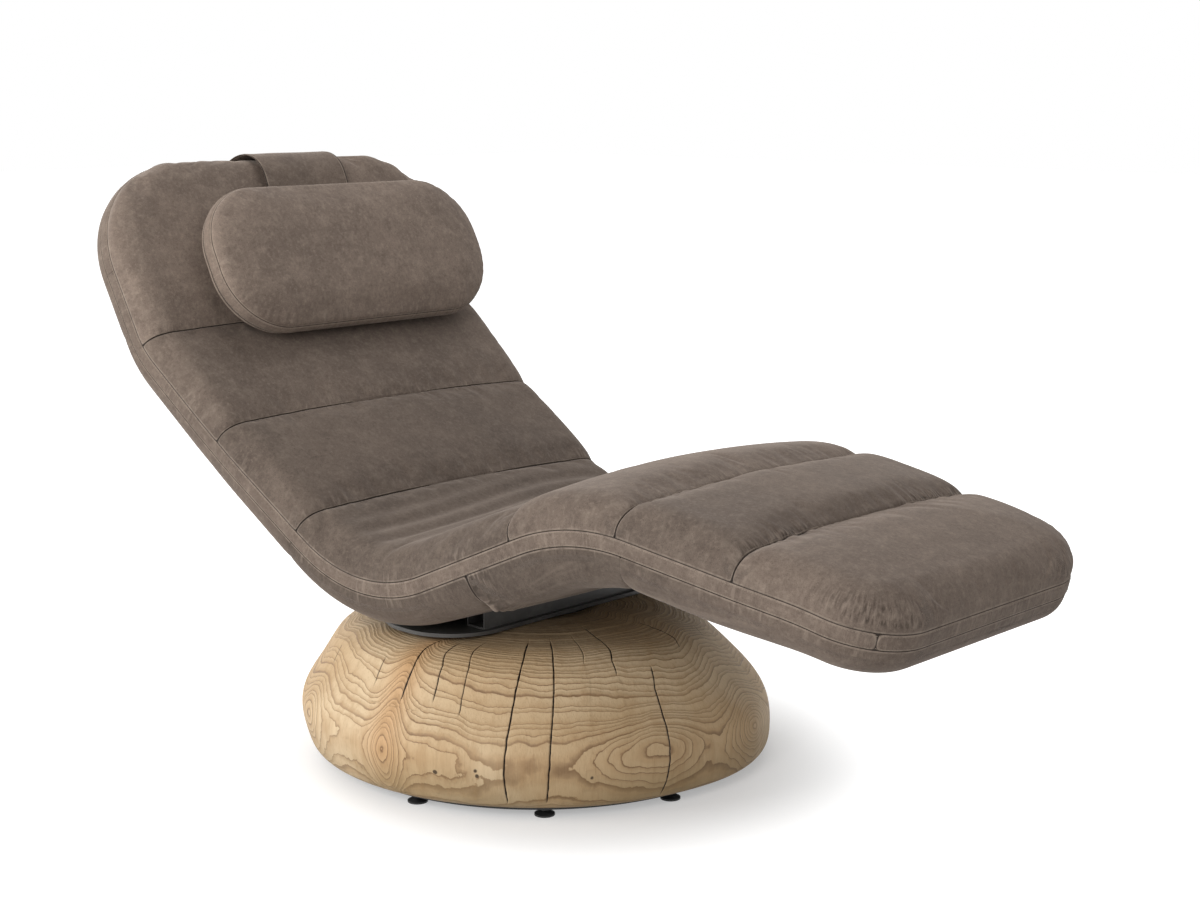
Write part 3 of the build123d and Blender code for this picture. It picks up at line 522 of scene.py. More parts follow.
# Each pad: where it starts and ends on the side line, its height, how full its rim is, and how much painted
# light or painted shade makes its leather paler or darker.
pads = {
    "head_pad": (0, neck_at, 0.064, 2.7, 0.20),
    "shoulder_pad": (neck_at, shoulder_at, 0.0595, 2.4, -0.06),
    "lumbar_pad": (shoulder_at, lumbar_at, 0.0595, 2.4, -0.20),
    "seat_pad": (lumbar_at, thigh_at, 0.064, 2.3, -0.27),
    "thigh_pad": (thigh_at, calf_at, 0.064, 2.3, -0.05),
    "calf_pad": (calf_at, ankle_at, 0.068, 2.3, -0.16),
    "foot_pad": (ankle_at, line_length, 0.066, 2.3, 0.0),
}


def ramp(value, run):
    """A straight rise from 0 to 1 over a run."""
    return np.clip(value / run, 0, 1)


def eased(share, power=2.0):
    """A rise from 0 to 1 that is steep at first, like the edge of a cushion."""
    return (1 - (1 - np.clip(share, 0, 1)) ** power) ** (1 / power)


def channel(station, start, finish, crown, distance):
    """Height of a pad between its two seams, before its sides roll down."""
    middle = (start + finish) / 2
    share = np.clip((station - start) / (finish - start), 0, 1)
    knee = valley + knee_fill * ramp(distance - 0.07, 0.16)
    low_start = crown if start == 0 else knee if start == thigh_at else valley
    low_end = crown if finish == line_length else knee if finish == thigh_at else valley
    low = np.where(station < middle, low_start, low_end)
    return low + (crown - low) * np.sqrt(np.clip(1 - np.abs(2 * share - 1) ** 4, 0, 1))


def pad_lift(station, across, start, finish, crown, fullness):
    """Height of a pad over its seam, with its sides rolled down."""
    distance = edge_distance(station, across)
    rolled = eased(distance / shoulder_run, fullness)
    dome = 1 - (1 - ramp(distance - shoulder_run, 0.27)) ** 2
    return channel(station, start, finish, crown, distance) * (0.80 * rolled + 0.20 * dome)


def spaced(length, start_round, end_round, step, seam_step):
    """Distances along a pad: close together at seams and where an end rolls down to its seam."""
    def first_steps(rounded):
        """The first distances in from one end."""
        if rounded:
            return list(shoulder_run * (1 - np.cos(np.linspace(0, pi / 2, 14)[1:])))
        return [seam_step, seam_step * 2.2, seam_step * 4, seam_step * 6.4]
    first, last = first_steps(start_round), first_steps(end_round)
    count = max(int((length - first[-1] - last[-1]) / step), 2)
    middle = np.linspace(first[-1], length - last[-1], count + 1)[1:-1]
    return np.array([0] + first + list(middle) + [length - d for d in reversed(last)] + [length])


edge_steps = shoulder_run * (1 - np.cos(np.linspace(0, pi / 2, 13)))
middle_count = 86


def row_across(station):
    """Places across one row, from the right edge to the left, close together at both edges."""
    wide = float(half_width(station))
    inner = np.linspace(-(wide - shoulder_run), wide - shoulder_run, middle_count)
    return np.concatenate((-(wide - edge_steps), inner[1:-1], (wide - edge_steps)[::-1]))


def sheet_grid(start, finish, step, seam_step):
    """Stations and places across for a sheet of leather between two places on the side line."""
    along = start + spaced(finish - start, start == 0, finish == line_length, step, seam_step)
    rows_y = np.array([row_across(s) for s in along])
    return np.repeat(along[:, None], rows_y.shape[1], axis=1), rows_y


def sheet_faces(shape, upward):
    """Faces of a sheet of leather that is a grid of points, for a sheet that faces up or down."""
    n_rows, n_cols = shape
    corners = (0, n_cols, n_cols + 1, 1) if upward else (0, 1, n_cols + 1, n_cols)
    return [tuple(i * n_cols + j + corner for corner in corners)
            for i in range(n_rows - 1) for j in range(n_cols - 1)]


def apart(rows_s, start, finish):
    """The same stations, with a hair's gap at each cross seam, so that two sheets don't share their edge."""
    half_gap = 0.00025
    spots = rows_s.copy()
    spots[0, :] += half_gap * (start > 0)
    spots[-1, :] -= half_gap * (finish < line_length)
    return spots


def stuffed(piece, loose, pressure, cap, from_seam):
    """Foam pushes the cover out between its seams. Points marked as held stay where they are sewn.

    loose is the spare leather, and cap the furthest that any of it moves. Near a seam it moves less.
    """
    frames, stiffness, seam_hold = 16, 12.0, 0.018
    mesh = piece.data
    count = len(mesh.vertices)
    before = np.zeros(count * 3)
    mesh.vertices.foreach_get("co", before)
    modifier = piece.modifiers.new("stuffing", "CLOTH")
    settings = modifier.settings
    settings.vertex_group_mass = "held"
    settings.shrink_min = -loose
    settings.use_pressure = True
    settings.uniform_pressure_force = pressure
    settings.tension_stiffness = settings.compression_stiffness = stiffness
    settings.shear_stiffness = stiffness * 0.6
    settings.bending_stiffness = 0.4
    settings.mass = 0.25
    settings.air_damping = 4.0
    settings.quality = 5
    settings.effector_weights.gravity = 0
    modifier.point_cache.frame_start, modifier.point_cache.frame_end = 1, frames
    for number in range(1, frames + 1):
        bpy.context.scene.frame_set(number)
    graph = bpy.context.evaluated_depsgraph_get()
    evaluated = piece.evaluated_get(graph)
    after = np.zeros(count * 3)
    evaluated.data.vertices.foreach_get("co", after)
    move = (after - before).reshape(-1, 3)
    size = np.linalg.norm(move, axis=1)
    capped = cap * np.tanh(size / cap) / np.maximum(size, 1e-9)
    move *= (capped * ramp(from_seam, seam_hold))[:, None]
    piece.modifiers.remove(modifier)
    bpy.context.scene.frame_set(1)
    mesh.vertices.foreach_set("co", before + move.reshape(-1))
    mesh.update()


def hold(piece, held):
    """Mark the points that are sewn down."""
    group = piece.vertex_groups.new(name="held")
    group.add([int(i) for i in held], 1.0, "REPLACE")


def closed_below(piece, rise):
    """Close a stuffed sheet on its flat side, where it lies on the shell, and keep its rim sharp.

    The sheet is a grid with the rows and columns of rise. An end row that stands over its seam is closed too.
    """
    n_rows, n_cols = rise.shape
    bm = bmesh.new()
    bm.from_mesh(piece.data)
    bm.verts.ensure_lookup_table()
    sharp = bm.edges.layers.float.new("crease_edge")
    for edge in bm.edges:
        edge[sharp] = 1.0 if edge.is_boundary else 0.0
    rows = [[bm.verts[i * n_cols + j] for j in range(n_cols)] for i in range(n_rows)]
    for row, after in zip(rows, rows[1:]):
        bm.faces.new((row[0], row[-1], after[-1], after[0]))
    for i in (0, n_rows - 1):
        if max(rise[i]) > 0.001:
            bm.faces.new(rows[i])
    bmesh.ops.recalc_face_normals(bm, faces=bm.faces)
    bm.to_mesh(piece.data)
    bm.free()
    piece.data.polygons.foreach_set("use_smooth", [True] * len(piece.data.polygons))


def fine(piece):
    """Round a piece off by one level of subdivision."""
    modifier = piece.modifiers.new("smooth_leather", "SUBSURF")
    modifier.levels = modifier.render_levels = 1


nubuck = Surface("taupe_nubuck")
place = nubuck.add("ShaderNodeTexCoord").outputs["Object"]
clouds = nubuck.cloud(place, 5.0, 4.0, 0.6)
brushed = nubuck.cloud(place, 30.0, 5.0, 0.62, (1.0, 0.6, 1.0))
hide = nubuck.cloud(place, 170.0, 3.0, 0.65)
pores = nubuck.cloud(place, 620.0, 2.0, 0.6)
colour = nubuck.mixed(nubuck.between(clouds, 0.34, 0.66), tone(105, 92, 83), tone(119, 105, 95))
for pattern, low, high, share, shade in (
        (brushed, 0.48, 0.74, 0.40, (141, 126, 114)), (brushed, 0.46, 0.26, 0.42, (80, 68, 61)),
        (hide, 0.50, 0.72, 0.36, (148, 133, 120)), (hide, 0.48, 0.30, 0.28, (74, 64, 57)),
        (pores, 0.5, 0.3, 0.40, (62, 53, 46))):
    colour = nubuck.tinted(colour, pattern, low, high, share, shade)
colour = worn(nubuck, place, colour, tone(160, 146, 132), 58.0, 0.24)["Colour"]
# Painted light and shade: each piece is made paler or darker by its painted light tone.
colour = nubuck.add("ShaderNodeHueSaturation", Color=colour, Value=nubuck.sums(
    "ADD", nubuck.painted("hide_tone"), 1.0)).outputs[0]
near_seam, along_seam = nubuck.painted("seam_distance"), nubuck.painted("seam_along")
near_seam_place = nubuck.add("ShaderNodeCombineXYZ", X=along_seam, Z=0.0,
                             Y=nubuck.sums("MULTIPLY", near_seam, 0.22))
folds = nubuck.cloud(near_seam_place.outputs[0], 120.0, 2.0, 0.55)
pleats = nubuck.cloud(near_seam_place.outputs[0], 230.0, 1.0, 0.5)
pleated = nubuck.painted("pleated")
folds_reach = nubuck.sums("MULTIPLY", nubuck.between(near_seam, 0.034, 0.004), nubuck.between(
    nubuck.cloud(place, 11.0, 1.0), 0.38, 0.60, 0.15, 1.0))
# Painted highlight: a paler tone on the fold crests near the seams.
fold_highlight = nubuck.sums("MULTIPLY", folds_reach, nubuck.between(folds, 0.52, 0.70, 0.0, 0.35))
colour = nubuck.mixed(fold_highlight, colour, tone(158, 143, 130))
# Painted shade in the pleats' creases and a painted highlight on their crests.
colour = nubuck.mixed(nubuck.sums("MULTIPLY", pleated, nubuck.between(pleats, 0.53, 0.62, 0.0, 0.75)), colour,
                      tone(50, 42, 36))
colour = nubuck.mixed(nubuck.sums("MULTIPLY", pleated, nubuck.between(pleats, 0.47, 0.36, 0.0, 0.4)), colour,
                      tone(165, 150, 137))
# Pale rubbing beside the seams: partly wear, partly a painted highlight on the rolled edge.
rub_and_highlight = nubuck.sums("MULTIPLY", nubuck.between(near_seam, 0.0008, 0.0015),
                  nubuck.between(near_seam, 0.0045, 0.0020))
rub_and_highlight = nubuck.sums("MULTIPLY", rub_and_highlight, nubuck.between(nubuck.cloud(place, 75.0, 3.0), 0.32, 0.60, 0.25, 0.85))
colour = nubuck.mixed(nubuck.sums("MULTIPLY", rub_and_highlight, 0.55), colour, tone(170, 155, 141))
colour = nubuck.tinted(colour, near_seam, 0.0010, 0.0003, 0.90, (34, 28, 24))
nubuck.join(colour, nubuck.shader, "Base Color")
nubuck.join(nubuck.between(clouds, 0.3, 0.7, 0.78, 0.92), nubuck.shader, "Roughness")
for socket, value in (("Sheen Weight", 0.35), ("Sheen Roughness", 0.45), ("Sheen Tint", tone(200, 188, 178)),
                      ("Specular IOR Level", 0.2)):
    nubuck.shader.inputs[socket].default_value = value
relief = nubuck.sums("MULTIPLY_ADD", hide, 0.5, nubuck.sums("MULTIPLY", pores, 0.25))
relief = nubuck.sums("MULTIPLY_ADD", nubuck.cloud(place, 34.0, 3.0, 0.55), 1.2, relief)
relief = nubuck.sums("MULTIPLY_ADD", nubuck.sums("MULTIPLY", folds, folds_reach), 3.2, relief)
relief = nubuck.sums("SUBTRACT", relief, nubuck.sums("MULTIPLY", nubuck.sums("MULTIPLY", pleats, pleated), 6.0))
nubuck.raised(relief, 0.5, 0.0016)


def rim_walk(station, across):
    """Distance along the outline to the point of it that is next to a place on the seat."""
    walked = station.copy()
    for reach, radius, way in ((station, head_corner, -1), (line_length - station, foot_corner, 1)):
        side = full_half(station) - np.abs(across)
        angle = np.arctan2(np.maximum(radius - reach, 0), np.maximum(radius - side, 1e-6))
        round_corner = station + way * (radius * angle - np.maximum(radius - reach, 0))
        walked = np.where(reach < radius, round_corner, walked)
        walked = np.where((reach < side) & (side > radius), way * (2.5 + side), walked)
    return walked


def puckered(station, across, distance):
    """Small gathers that run in from the seams: at the foot corners, the seam ends and the head corners."""
    lift = np.zeros_like(distance)
    for side in (-1, 1):
        for at_station, at_side, waves, depth in (
                (line_length - foot_corner, half_widths[-1] - foot_corner, 34, 0.0032),
                (head_corner, half_widths[0] - head_corner, 60, 0.0011)):
            ds = (station - at_station) * (1 if at_station > 1 else -1)
            dy = side * across - at_side
            angle = np.arctan2(dy, ds)
            inside = (ds > -0.02) & (dy > -0.02)
            reach = ramp(distance, 0.006) * near(distance, 0.026)
            wave = np.sin(waves * angle + 3 * np.sin(5 * angle + at_side)) * (0.6 + 0.4 * np.sin(11 * angle))
            lift += np.where(inside, depth * reach * wave, 0)
        for k, seam in enumerate(seam_stations):
            gap = np.abs(station - seam)
            end = full_half(station) - side * across
            local = near(end - (0.085 + 0.05 * (k % 2)), 0.075)
            reach = ramp(gap, 0.004) * near(gap, 0.016)
            wave = np.sin(across * (230 + 12 * k) + 4 * np.sin(across * 50 + k))
            lift += (0.0016 if k != 5 else 0.0032) * local * reach * wave
    return lift


pad_step, pad_seam_step = 0.0062, 0.0016
for name, (pad_start, pad_finish, crown, fullness, hide_tone) in pads.items():
    rows_s, rows_y = sheet_grid(pad_start, pad_finish, pad_step, pad_seam_step)
    lift = pad_lift(rows_s, rows_y, pad_start, pad_finish, crown, fullness)
    distance = edge_distance(rows_s, rows_y)
    lift += puckered(rows_s, rows_y, distance)
    if name == "seat_pad":
        creased = near(rows_s - lumbar_at - 0.11, 0.10) * ramp(distance, 0.08)
        lift += creased * 0.0022 * np.sin(rows_s * 105 + 2.4 * np.sin(rows_y * 9))
    lift[:, 0] = lift[:, -1] = 0
    if pad_start == 0:
        lift[0, :] = 0
    if pad_finish == line_length:
        lift[-1, :] = 0
    top = on_line(apart(rows_s, pad_start, pad_finish), rows_y, lift)
    seam_gap, seam_walk = np.hypot(distance, lift), rim_walk(rows_s, rows_y)
    for seam, joined in ((pad_start, pad_start > 0), (pad_finish, pad_finish < line_length)):
        if joined:
            cross_gap = np.hypot(rows_s - seam, np.maximum(lift - valley * lift.max() / crown, 0))
            cross_gap = np.where(cross_gap < 0.0030, cross_gap * 0.55, cross_gap + 0.003)
            seam_walk = np.where(cross_gap < seam_gap, rows_y, seam_walk)
            seam_gap = np.minimum(seam_gap, cross_gap)
    beside = near(distance - 0.115, 0.055) + 0.5 * near(distance - 0.03, 0.03)
    pleated = beside * near(rows_s - ankle_at, 0.013) * (np.abs(rows_s - ankle_at) > 0.0012)
    corner_gap = np.hypot(rows_s - line_length + 0.05, np.abs(rows_y) - half_widths[-1] + 0.05)
    pleated += 0.9 * near(corner_gap, 0.075) * near(distance, 0.017) * (distance > 0.0005)
    rim = np.zeros(lift.shape, bool)
    rim[0, :] = rim[-1, :] = rim[:, 0] = rim[:, -1] = True
    pad = made_piece(name.replace("_pad", "_cushion"), top, sheet_faces(lift.shape, True), nubuck.material,
                     "seat", "leather", seam_distance=seam_gap, seam_along=seam_walk,
                     hide_tone=np.full(lift.shape, hide_tone), pleated=pleated)
    hold(pad, np.flatnonzero(rim))
    stuffed(pad, loose=0.022, pressure=2.2, cap=0.005, from_seam=np.ravel(seam_gap))
    closed_below(pad, lift)
    fine(pad)
    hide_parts(name)


# Side band. A strip of the same nubuck round the edge of the shell, sewn between the two edge seams
# and joined at the head corners and at the foot corners. It bulges a little over its foam.
def outline_walk():
    """The outline on one side, from the middle of the head end to the middle of the foot end."""
    step = 0.0055
    head_half, foot_half = half_widths[0], half_widths[-1]
    points = [(0.0, y) for y in np.linspace(0, head_half - head_corner, 34)[:-1]]
    for angle in np.linspace(0, pi / 2, 54):
        station = head_corner * (1 - cos(angle))
        points.append((station, float(full_half(station)) - head_corner * (1 - sin(angle))))
    for station in np.arange(head_corner + step, line_length - foot_corner, step):
        points.append((station, float(full_half(station))))
    for angle in np.linspace(0, pi / 2, 19):
        station = line_length - foot_corner * (1 - sin(angle))
        points.append((station, float(full_half(station)) - foot_corner * (1 - cos(angle))))
    points += [(line_length, y) for y in np.linspace(foot_half - foot_corner, 0, 38)[1:]]
    return np.array(points)


half_walk = outline_walk()
full_walk = np.concatenate((half_walk * (1, -1), half_walk[-2:0:-1]))
walk_step = np.roll(full_walk, -1, 0) - np.roll(full_walk, 1, 0)
walk_out = np.stack((walk_step[:, 1], -walk_step[:, 0]), 1) / np.linalg.norm(walk_step, axis=1)[:, None]
band_section = [(-0.0005, 0.0001), (0.0003, 0.0006), (0.0009, 0.0020), (0.0016, 0.0060), (0.0018, 0.012),
                (0.0016, 0.0180), (0.0009, 0.0220), (0.0003, 0.0234), (-0.0005, 0.0239), (-0.011, 0.0234),
                (-0.011, 0.0006)]
section_seam = [0.0, 0.0009, 0.0026, 0.0068, 0.012, 0.0068, 0.0026, 0.0009, 0.0, 0.0, 0.0]


def strip_round(name, places, outs):
    """A sewn strip of the band that follows part of the outline, closed at both ends."""
    points, marks, size = [], [], len(band_section)
    for k, (place, out) in enumerate(zip(places, outs)):
        wave = 0.0006 * noise.noise(Vector((place[0] * 14, place[1] * 14, 5)))
        for (reach, depth), mark in zip(band_section, section_seam):
            swell = reach + (wave if 0.003 < depth < band_depth - 0.003 and reach > 0 else 0)
            spot = place + out * swell
            points.append(on_line(spot[0], spot[1], -depth))
            marks.append(mark if 0 < k < len(places) - 1 or place[0] < 1 else 0.0)
    faces = ring_faces(len(places), size)
    faces += [tuple(range(size)), tuple(reversed(range(len(points) - size, len(points))))]
    walked = np.repeat(np.cumsum(np.linalg.norm(np.diff(places, axis=0, prepend=places[:1]), axis=1)), size)
    piece = made_piece(name, points, faces, nubuck.material, "seat", "leather", seam_distance=marks,
                       seam_along=walked)
    bm = bmesh.new()
    bm.from_mesh(piece.data)
    bmesh.ops.recalc_face_normals(bm, faces=bm.faces)
    sharp = bm.edges.layers.float.new("crease_edge")
    for face in bm.faces:
        if len(face.verts) == size:
            for edge in face.edges:
                edge[sharp] = 1.0
    bm.to_mesh(piece.data)
    bm.free()
    return piece


corner_station = line_length - foot_corner * (1 - cos(pi / 4))
stations, sides = full_walk[:, 0], full_walk[:, 1]
band_spans = {
    "band_right": (stations >= head_corner - 1e-6) & (stations <= corner_station) & (sides < 0),
    "band_foot": stations >= corner_station - 0.004,
    "band_left": (stations >= head_corner - 1e-6) & (stations <= corner_station) & (sides > 0),
    "band_head": stations <= head_corner + 1e-6,
}
for name, chosen in band_spans.items():
    index = np.nonzero(chosen)[0]
    if name == "band_head":
        gap = int(np.argmax(np.diff(index)))
        index = np.concatenate((index[gap + 1:], index[:gap + 1]))
    strip = strip_round(name + "_leather", full_walk[index], walk_out[index])
    fine(strip)
    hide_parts(name)


# Topstitching. Waxed linen thread, a shade paler than the leather, runs along both edges of the side
# band, the strap and the pillow's gusset. Each stitch is a short bead that lies along its seam.
thread = Surface("waxed_linen_thread")
place = thread.add("ShaderNodeTexCoord").outputs["Object"]
thread_marks = worn(thread, place, tone(142, 128, 115), tone(108, 95, 84), 240.0, 0.8)
thread.join(thread_marks["Colour"], thread.shader, "Base Color")
thread.shader.inputs["Roughness"].default_value = 0.7
thread.raised(thread.cloud(place, 2600.0, 1.0), 0.4, 0.0002)
stitch_tree = bpy.data.node_groups.new("sewn_stitches", "GeometryNodeTree")
for socket, kind in (("Seam", "Geometry"), ("Pitch", "Float"), ("Length", "Float"), ("Width", "Float"),
                     ("Thread", "Material")):
    stitch_tree.interface.new_socket(socket, in_out="INPUT", socket_type="NodeSocket" + kind)
stitch_tree.interface.new_socket("Stitches", in_out="OUTPUT", socket_type="NodeSocketGeometry")
sewing = Surface("sewn_stitches", stitch_tree)
given, result = sewing.add("NodeGroupInput"), sewing.add("NodeGroupOutput")
seam_curve = sewing.add("GeometryNodeMeshToCurve", Mesh=given.outputs["Seam"])
spots = sewing.add("GeometryNodeResampleCurve", {"mode": "LENGTH"}, Curve=seam_curve.outputs[0],
                   Length=given.outputs["Pitch"])
lie = sewing.add("FunctionNodeAlignRotationToVector", {"axis": "X"},
                 Vector=sewing.add("GeometryNodeInputTangent").outputs[0])
bead = sewing.add("GeometryNodeMeshIcoSphere", Radius=0.5, Subdivisions=1)
girth = sewing.add("ShaderNodeCombineXYZ", X=given.outputs["Length"], Y=given.outputs["Width"],
                   Z=given.outputs["Width"])
placed = sewing.add("GeometryNodeInstanceOnPoints", Points=spots.outputs[0], Instance=bead.outputs["Mesh"],
                    Rotation=lie.outputs[0], Scale=girth.outputs[0])
real = sewing.add("GeometryNodeRealizeInstances", Geometry=placed.outputs[0])
rounded = sewing.add("GeometryNodeSetShadeSmooth", Geometry=real.outputs[0])
dressed = sewing.add("GeometryNodeSetMaterial", Geometry=rounded.outputs[0], Material=given.outputs["Thread"])
sewing.join(dressed.outputs[0], result, "Stitches")
stitch_sockets = {item.name: item.identifier for item in stitch_tree.interface.items_tree
                  if item.in_out == "INPUT"}
stitch_sizes = {"Pitch": 0.0046, "Length": 0.0034, "Width": 0.0009}


def stitched(name, body, seams):
    """Stitches along seams, each a list of points and whether it closes on itself."""
    points, edges = [], []
    for seam, closed in seams:
        first = len(points)
        points += [tuple(point) for point in seam]
        edges += [(i, i + 1) for i in range(first, len(points) - 1)]
        edges += [(len(points) - 1, first)] * closed
    guide_mesh = bpy.data.meshes.new(name)
    guide_mesh.from_pydata(points, edges, [])
    guide = bpy.data.objects.new(name + "_guide", guide_mesh)
    bpy.context.scene.collection.objects.link(guide)
    modifier = guide.modifiers.new("stitches", "NODES")
    modifier.node_group = stitch_tree
    for socket, value in (*stitch_sizes.items(), ("Thread", thread.material)):
        modifier[stitch_sockets[socket]] = value
    graph = bpy.context.evaluated_depsgraph_get()
    row = bpy.data.objects.new(name, bpy.data.meshes.new_from_object(guide.evaluated_get(graph)))
    bpy.data.objects.remove(guide)
    bpy.context.scene.collection.objects.link(row)
    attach(row, body)
    return row


stitch_in = 0.0032
for name, depth in (("band_upper_stitches", stitch_in), ("band_lower_stitches", band_depth - stitch_in)):
    seam = [on_line(place[0], place[1], -depth) for place in full_walk + walk_out * 0.0014]
    stitched(name, "seat", [(seam, True)])


# Underside. Five padded panels of the same leather close the shell from below: a hood on the head end,
# the back, the seat over the plate, the pouch under the knees and the leg. The pouch is gathered into
# its front seam.
hood_length, pouch_start, pouch_finish = 0.298, lumbar_at + 0.390, lumbar_at + 0.712
panel_runs = {
    "back_hood": (0, hood_length), "back_cover": (hood_length, lumbar_at),
    "seat_underside": (lumbar_at, pouch_start), "knee_pouch": (pouch_start, pouch_finish),
    "leg_underside": (pouch_finish, line_length),
}
depth_at = [0, hood_length, hood_length + 0.001, shoulder_at, lumbar_at, pouch_start - 0.078, pouch_start,
            pouch_start + 0.078, pouch_finish - 0.078, pouch_finish, 1.65, line_length - 0.156, line_length]
depths = [0.0425, 0.0425, 0.0395, 0.042, 0.050, 0.052, 0.058, 0.069, 0.067, 0.057, 0.058, 0.052, 0.046]
plate_clear = 0.2547


def panel_drop(station, across, start, finish):
    """How far an underside panel hangs below the band, with the distances to the outline and to a seam."""
    distance = edge_distance(station, across)
    depth = np.interp(station, depth_at, depths)
    rolled = eased(distance / np.minimum(depth, 0.05), 2.2)
    belly = 0.005 * (1 - (1 - ramp(distance, 0.3)) ** 2)
    seam = np.minimum(np.where(start == 0, 1, station - start),
                      np.where(finish == line_length, 1, finish - station))
    tuck = 0.004 * np.exp(-(np.clip(seam, 0, 1) / 0.006) ** 1.2) * ramp(distance, 0.02)
    return depth * rolled + belly - tuck, distance, seam


panel_step, panel_seam_step = 0.0085, 0.002
for name, (panel_start, panel_finish) in panel_runs.items():
    rows_s, rows_y = sheet_grid(panel_start, panel_finish, panel_step, panel_seam_step)
    drop, distance, seam = panel_drop(rows_s, rows_y, panel_start, panel_finish)
    ahead = rows_s - pouch_start
    if name == "knee_pouch":
        gather = near(ahead, 0.055) * ramp(ahead, 0.005) * ramp(distance, 0.008)
        fold = np.sin(distance * 300 + 2.2 * np.sin(rows_y * 43)) + 0.4 * np.sin(rows_y * 190 + 1.5)
        drop += gather * 0.0042 * fold * (1 - ramp(distance - 0.035, 0.04))
        swell = near(ahead, 0.03) * ramp(ahead, 0.006) * ramp(distance, 0.03)
        drop += 0.010 * swell
    drop = np.where(distance <= 1e-6, 0, drop)
    low = on_line(apart(rows_s, panel_start, panel_finish), rows_y, -(band_depth + drop))
    if name in ("seat_underside", "knee_pouch"):
        low[..., 2] = np.where(drop > 0.001, np.maximum(low[..., 2], plate_clear), low[..., 2])
    seam_gap, seam_walk = np.hypot(distance, drop), rim_walk(rows_s, rows_y)
    plain = (np.abs(rows_s - pouch_start) > 0.1) & (distance < 0.03) | (np.abs(rows_s - pouch_finish) < 0.15)
    cross_gap = np.where(plain, 0.02, np.where(seam < 0.0030, seam * 0.5, seam + 0.003))
    seam_walk = np.where(cross_gap < seam_gap, rows_y, seam_walk)
    seam_gap = np.minimum(seam_gap, cross_gap)
    pleated = 0.9 * near(ahead, 0.040) * (ahead > 0.0015) * near(distance, 0.10)
    # Painted shade on the underside panels, darkest under the seat and the pouch.
    hide_tone = np.interp(rows_s, [lumbar_at - 0.1, lumbar_at, pouch_finish - 0.05, pouch_finish + 0.2],
                          [-0.10, -0.42, -0.38, -0.12])
    panel = made_piece(name + "_leather", low, sheet_faces(drop.shape, False), nubuck.material, "seat",
                       "leather", seam_distance=seam_gap, seam_along=seam_walk, hide_tone=hide_tone,
                       pleated=pleated)
    closed_below(panel, drop)
    fine(panel)
    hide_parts(name)


# Headrest. A pill shaped cushion with a boxed edge: front and back panels sewn to a gusset. A stiff
# board inside holds a sleeve that runs on the strap.
neck = start + run_step(side_runs[0])
head_slope = radians(-side_runs[0][1])
head_up, head_out = np.array((-cos(head_slope), sin(head_slope))), np.array((sin(head_slope), cos(head_slope)))


def on_head(up, across, lift):
    """A point over the head pad: distance up from the neck, distance across, height over its seam line."""
    up, across, lift = np.broadcast_arrays(up, across, lift)
    x = neck[0] + head_up[0] * up + head_out[0] * lift
    z = neck[1] + head_up[1] * up + head_out[1] * lift
    return np.stack((x, across, z), axis=-1)


pillow_half_length, pillow_half_height, pillow_corner = 0.303, 0.1335, 0.117
pillow_base, pillow_thick, pillow_up, headrest_shift = 0.080, 0.086, 0.101, 0.035
pillow_squeeze, crown_run, crown_power = 0.97, 0.13, 2.35
gusset_low, gusset_high, gusset_bulge = 0.026, 0.052, 0.0032
end_count, bend_count, long_count = 4, 34, 48


def pillow_ring(inset):
    """The pillow's outline drawn in by an inset, from the middle of its right end round the bottom."""
    a, b = pillow_half_length - inset, pillow_half_height - inset
    r = max(pillow_corner - inset, 0.004)
    right, low = np.linspace(0, r - b, end_count + 1)[:-1], np.linspace(a - r, r - a, long_count + 1)[:-1]
    bend = np.linspace(0, pi / 2, bend_count + 1)[:-1]
    quarter = [(a, y) for y in right] + [(a - r + r * cos(t), r - b - r * sin(t)) for t in bend]
    half = quarter + [(x, -b) for x in low] + [(r - a - r * sin(t), r - b - r * cos(t)) for t in bend]
    half += [(-a, y) for y in np.linspace(r - b, 0, end_count + 1)[:-1]]
    return np.array(half + [(-x, -y) for x, y in half])


# How far each ring is drawn in, from the gusset's seam to the middle of the front and of the back.
insets_front = [0.0016, 0.0024, 0.004, 0.0065, 0.010, 0.014, 0.019, 0.025, 0.032, 0.040, 0.049, 0.059, 0.070,
                0.082, 0.094, 0.106, 0.117, 0.126]
insets_back = [0.0016, 0.003, 0.007, 0.013, 0.021, 0.031, 0.043, 0.060, 0.080, 0.100, 0.122]
# Each ring of the case: how far it is drawn in, its level, and how far it is from a seam.
case_rings = []
for inset in reversed(insets_back):
    case_rings.append((inset, gusset_low * (1 - float(eased(inset / 0.05, 2.0))), inset))
case_rings.append((0.0014, gusset_low, 0.0))
gusset_width = gusset_high - gusset_low
for share in np.linspace(0, 1, 9)[1:-1]:
    inset = 0.0008 - gusset_bulge * (1 - (2 * share - 1) ** 2) ** 0.6
    case_rings.append((inset, gusset_low + gusset_width * share, min(share, 1 - share) * gusset_width))
case_rings.append((0.0014, gusset_high, 0.0))
for inset in insets_front:
    rise = float(eased((inset - 0.001) / crown_run, crown_power))
    level = gusset_high + (pillow_thick - gusset_high) * rise
    case_rings.append((inset, level, float(np.hypot(inset, rise * 0.03))))


def on_pillow(ring, level, gather=0.0):
    """The points of one ring of the pillow, at a level over its back."""
    lift = pillow_base + level * pillow_squeeze + gather
    return on_head(pillow_up + ring[:, 1], headrest_shift + ring[:, 0], lift)


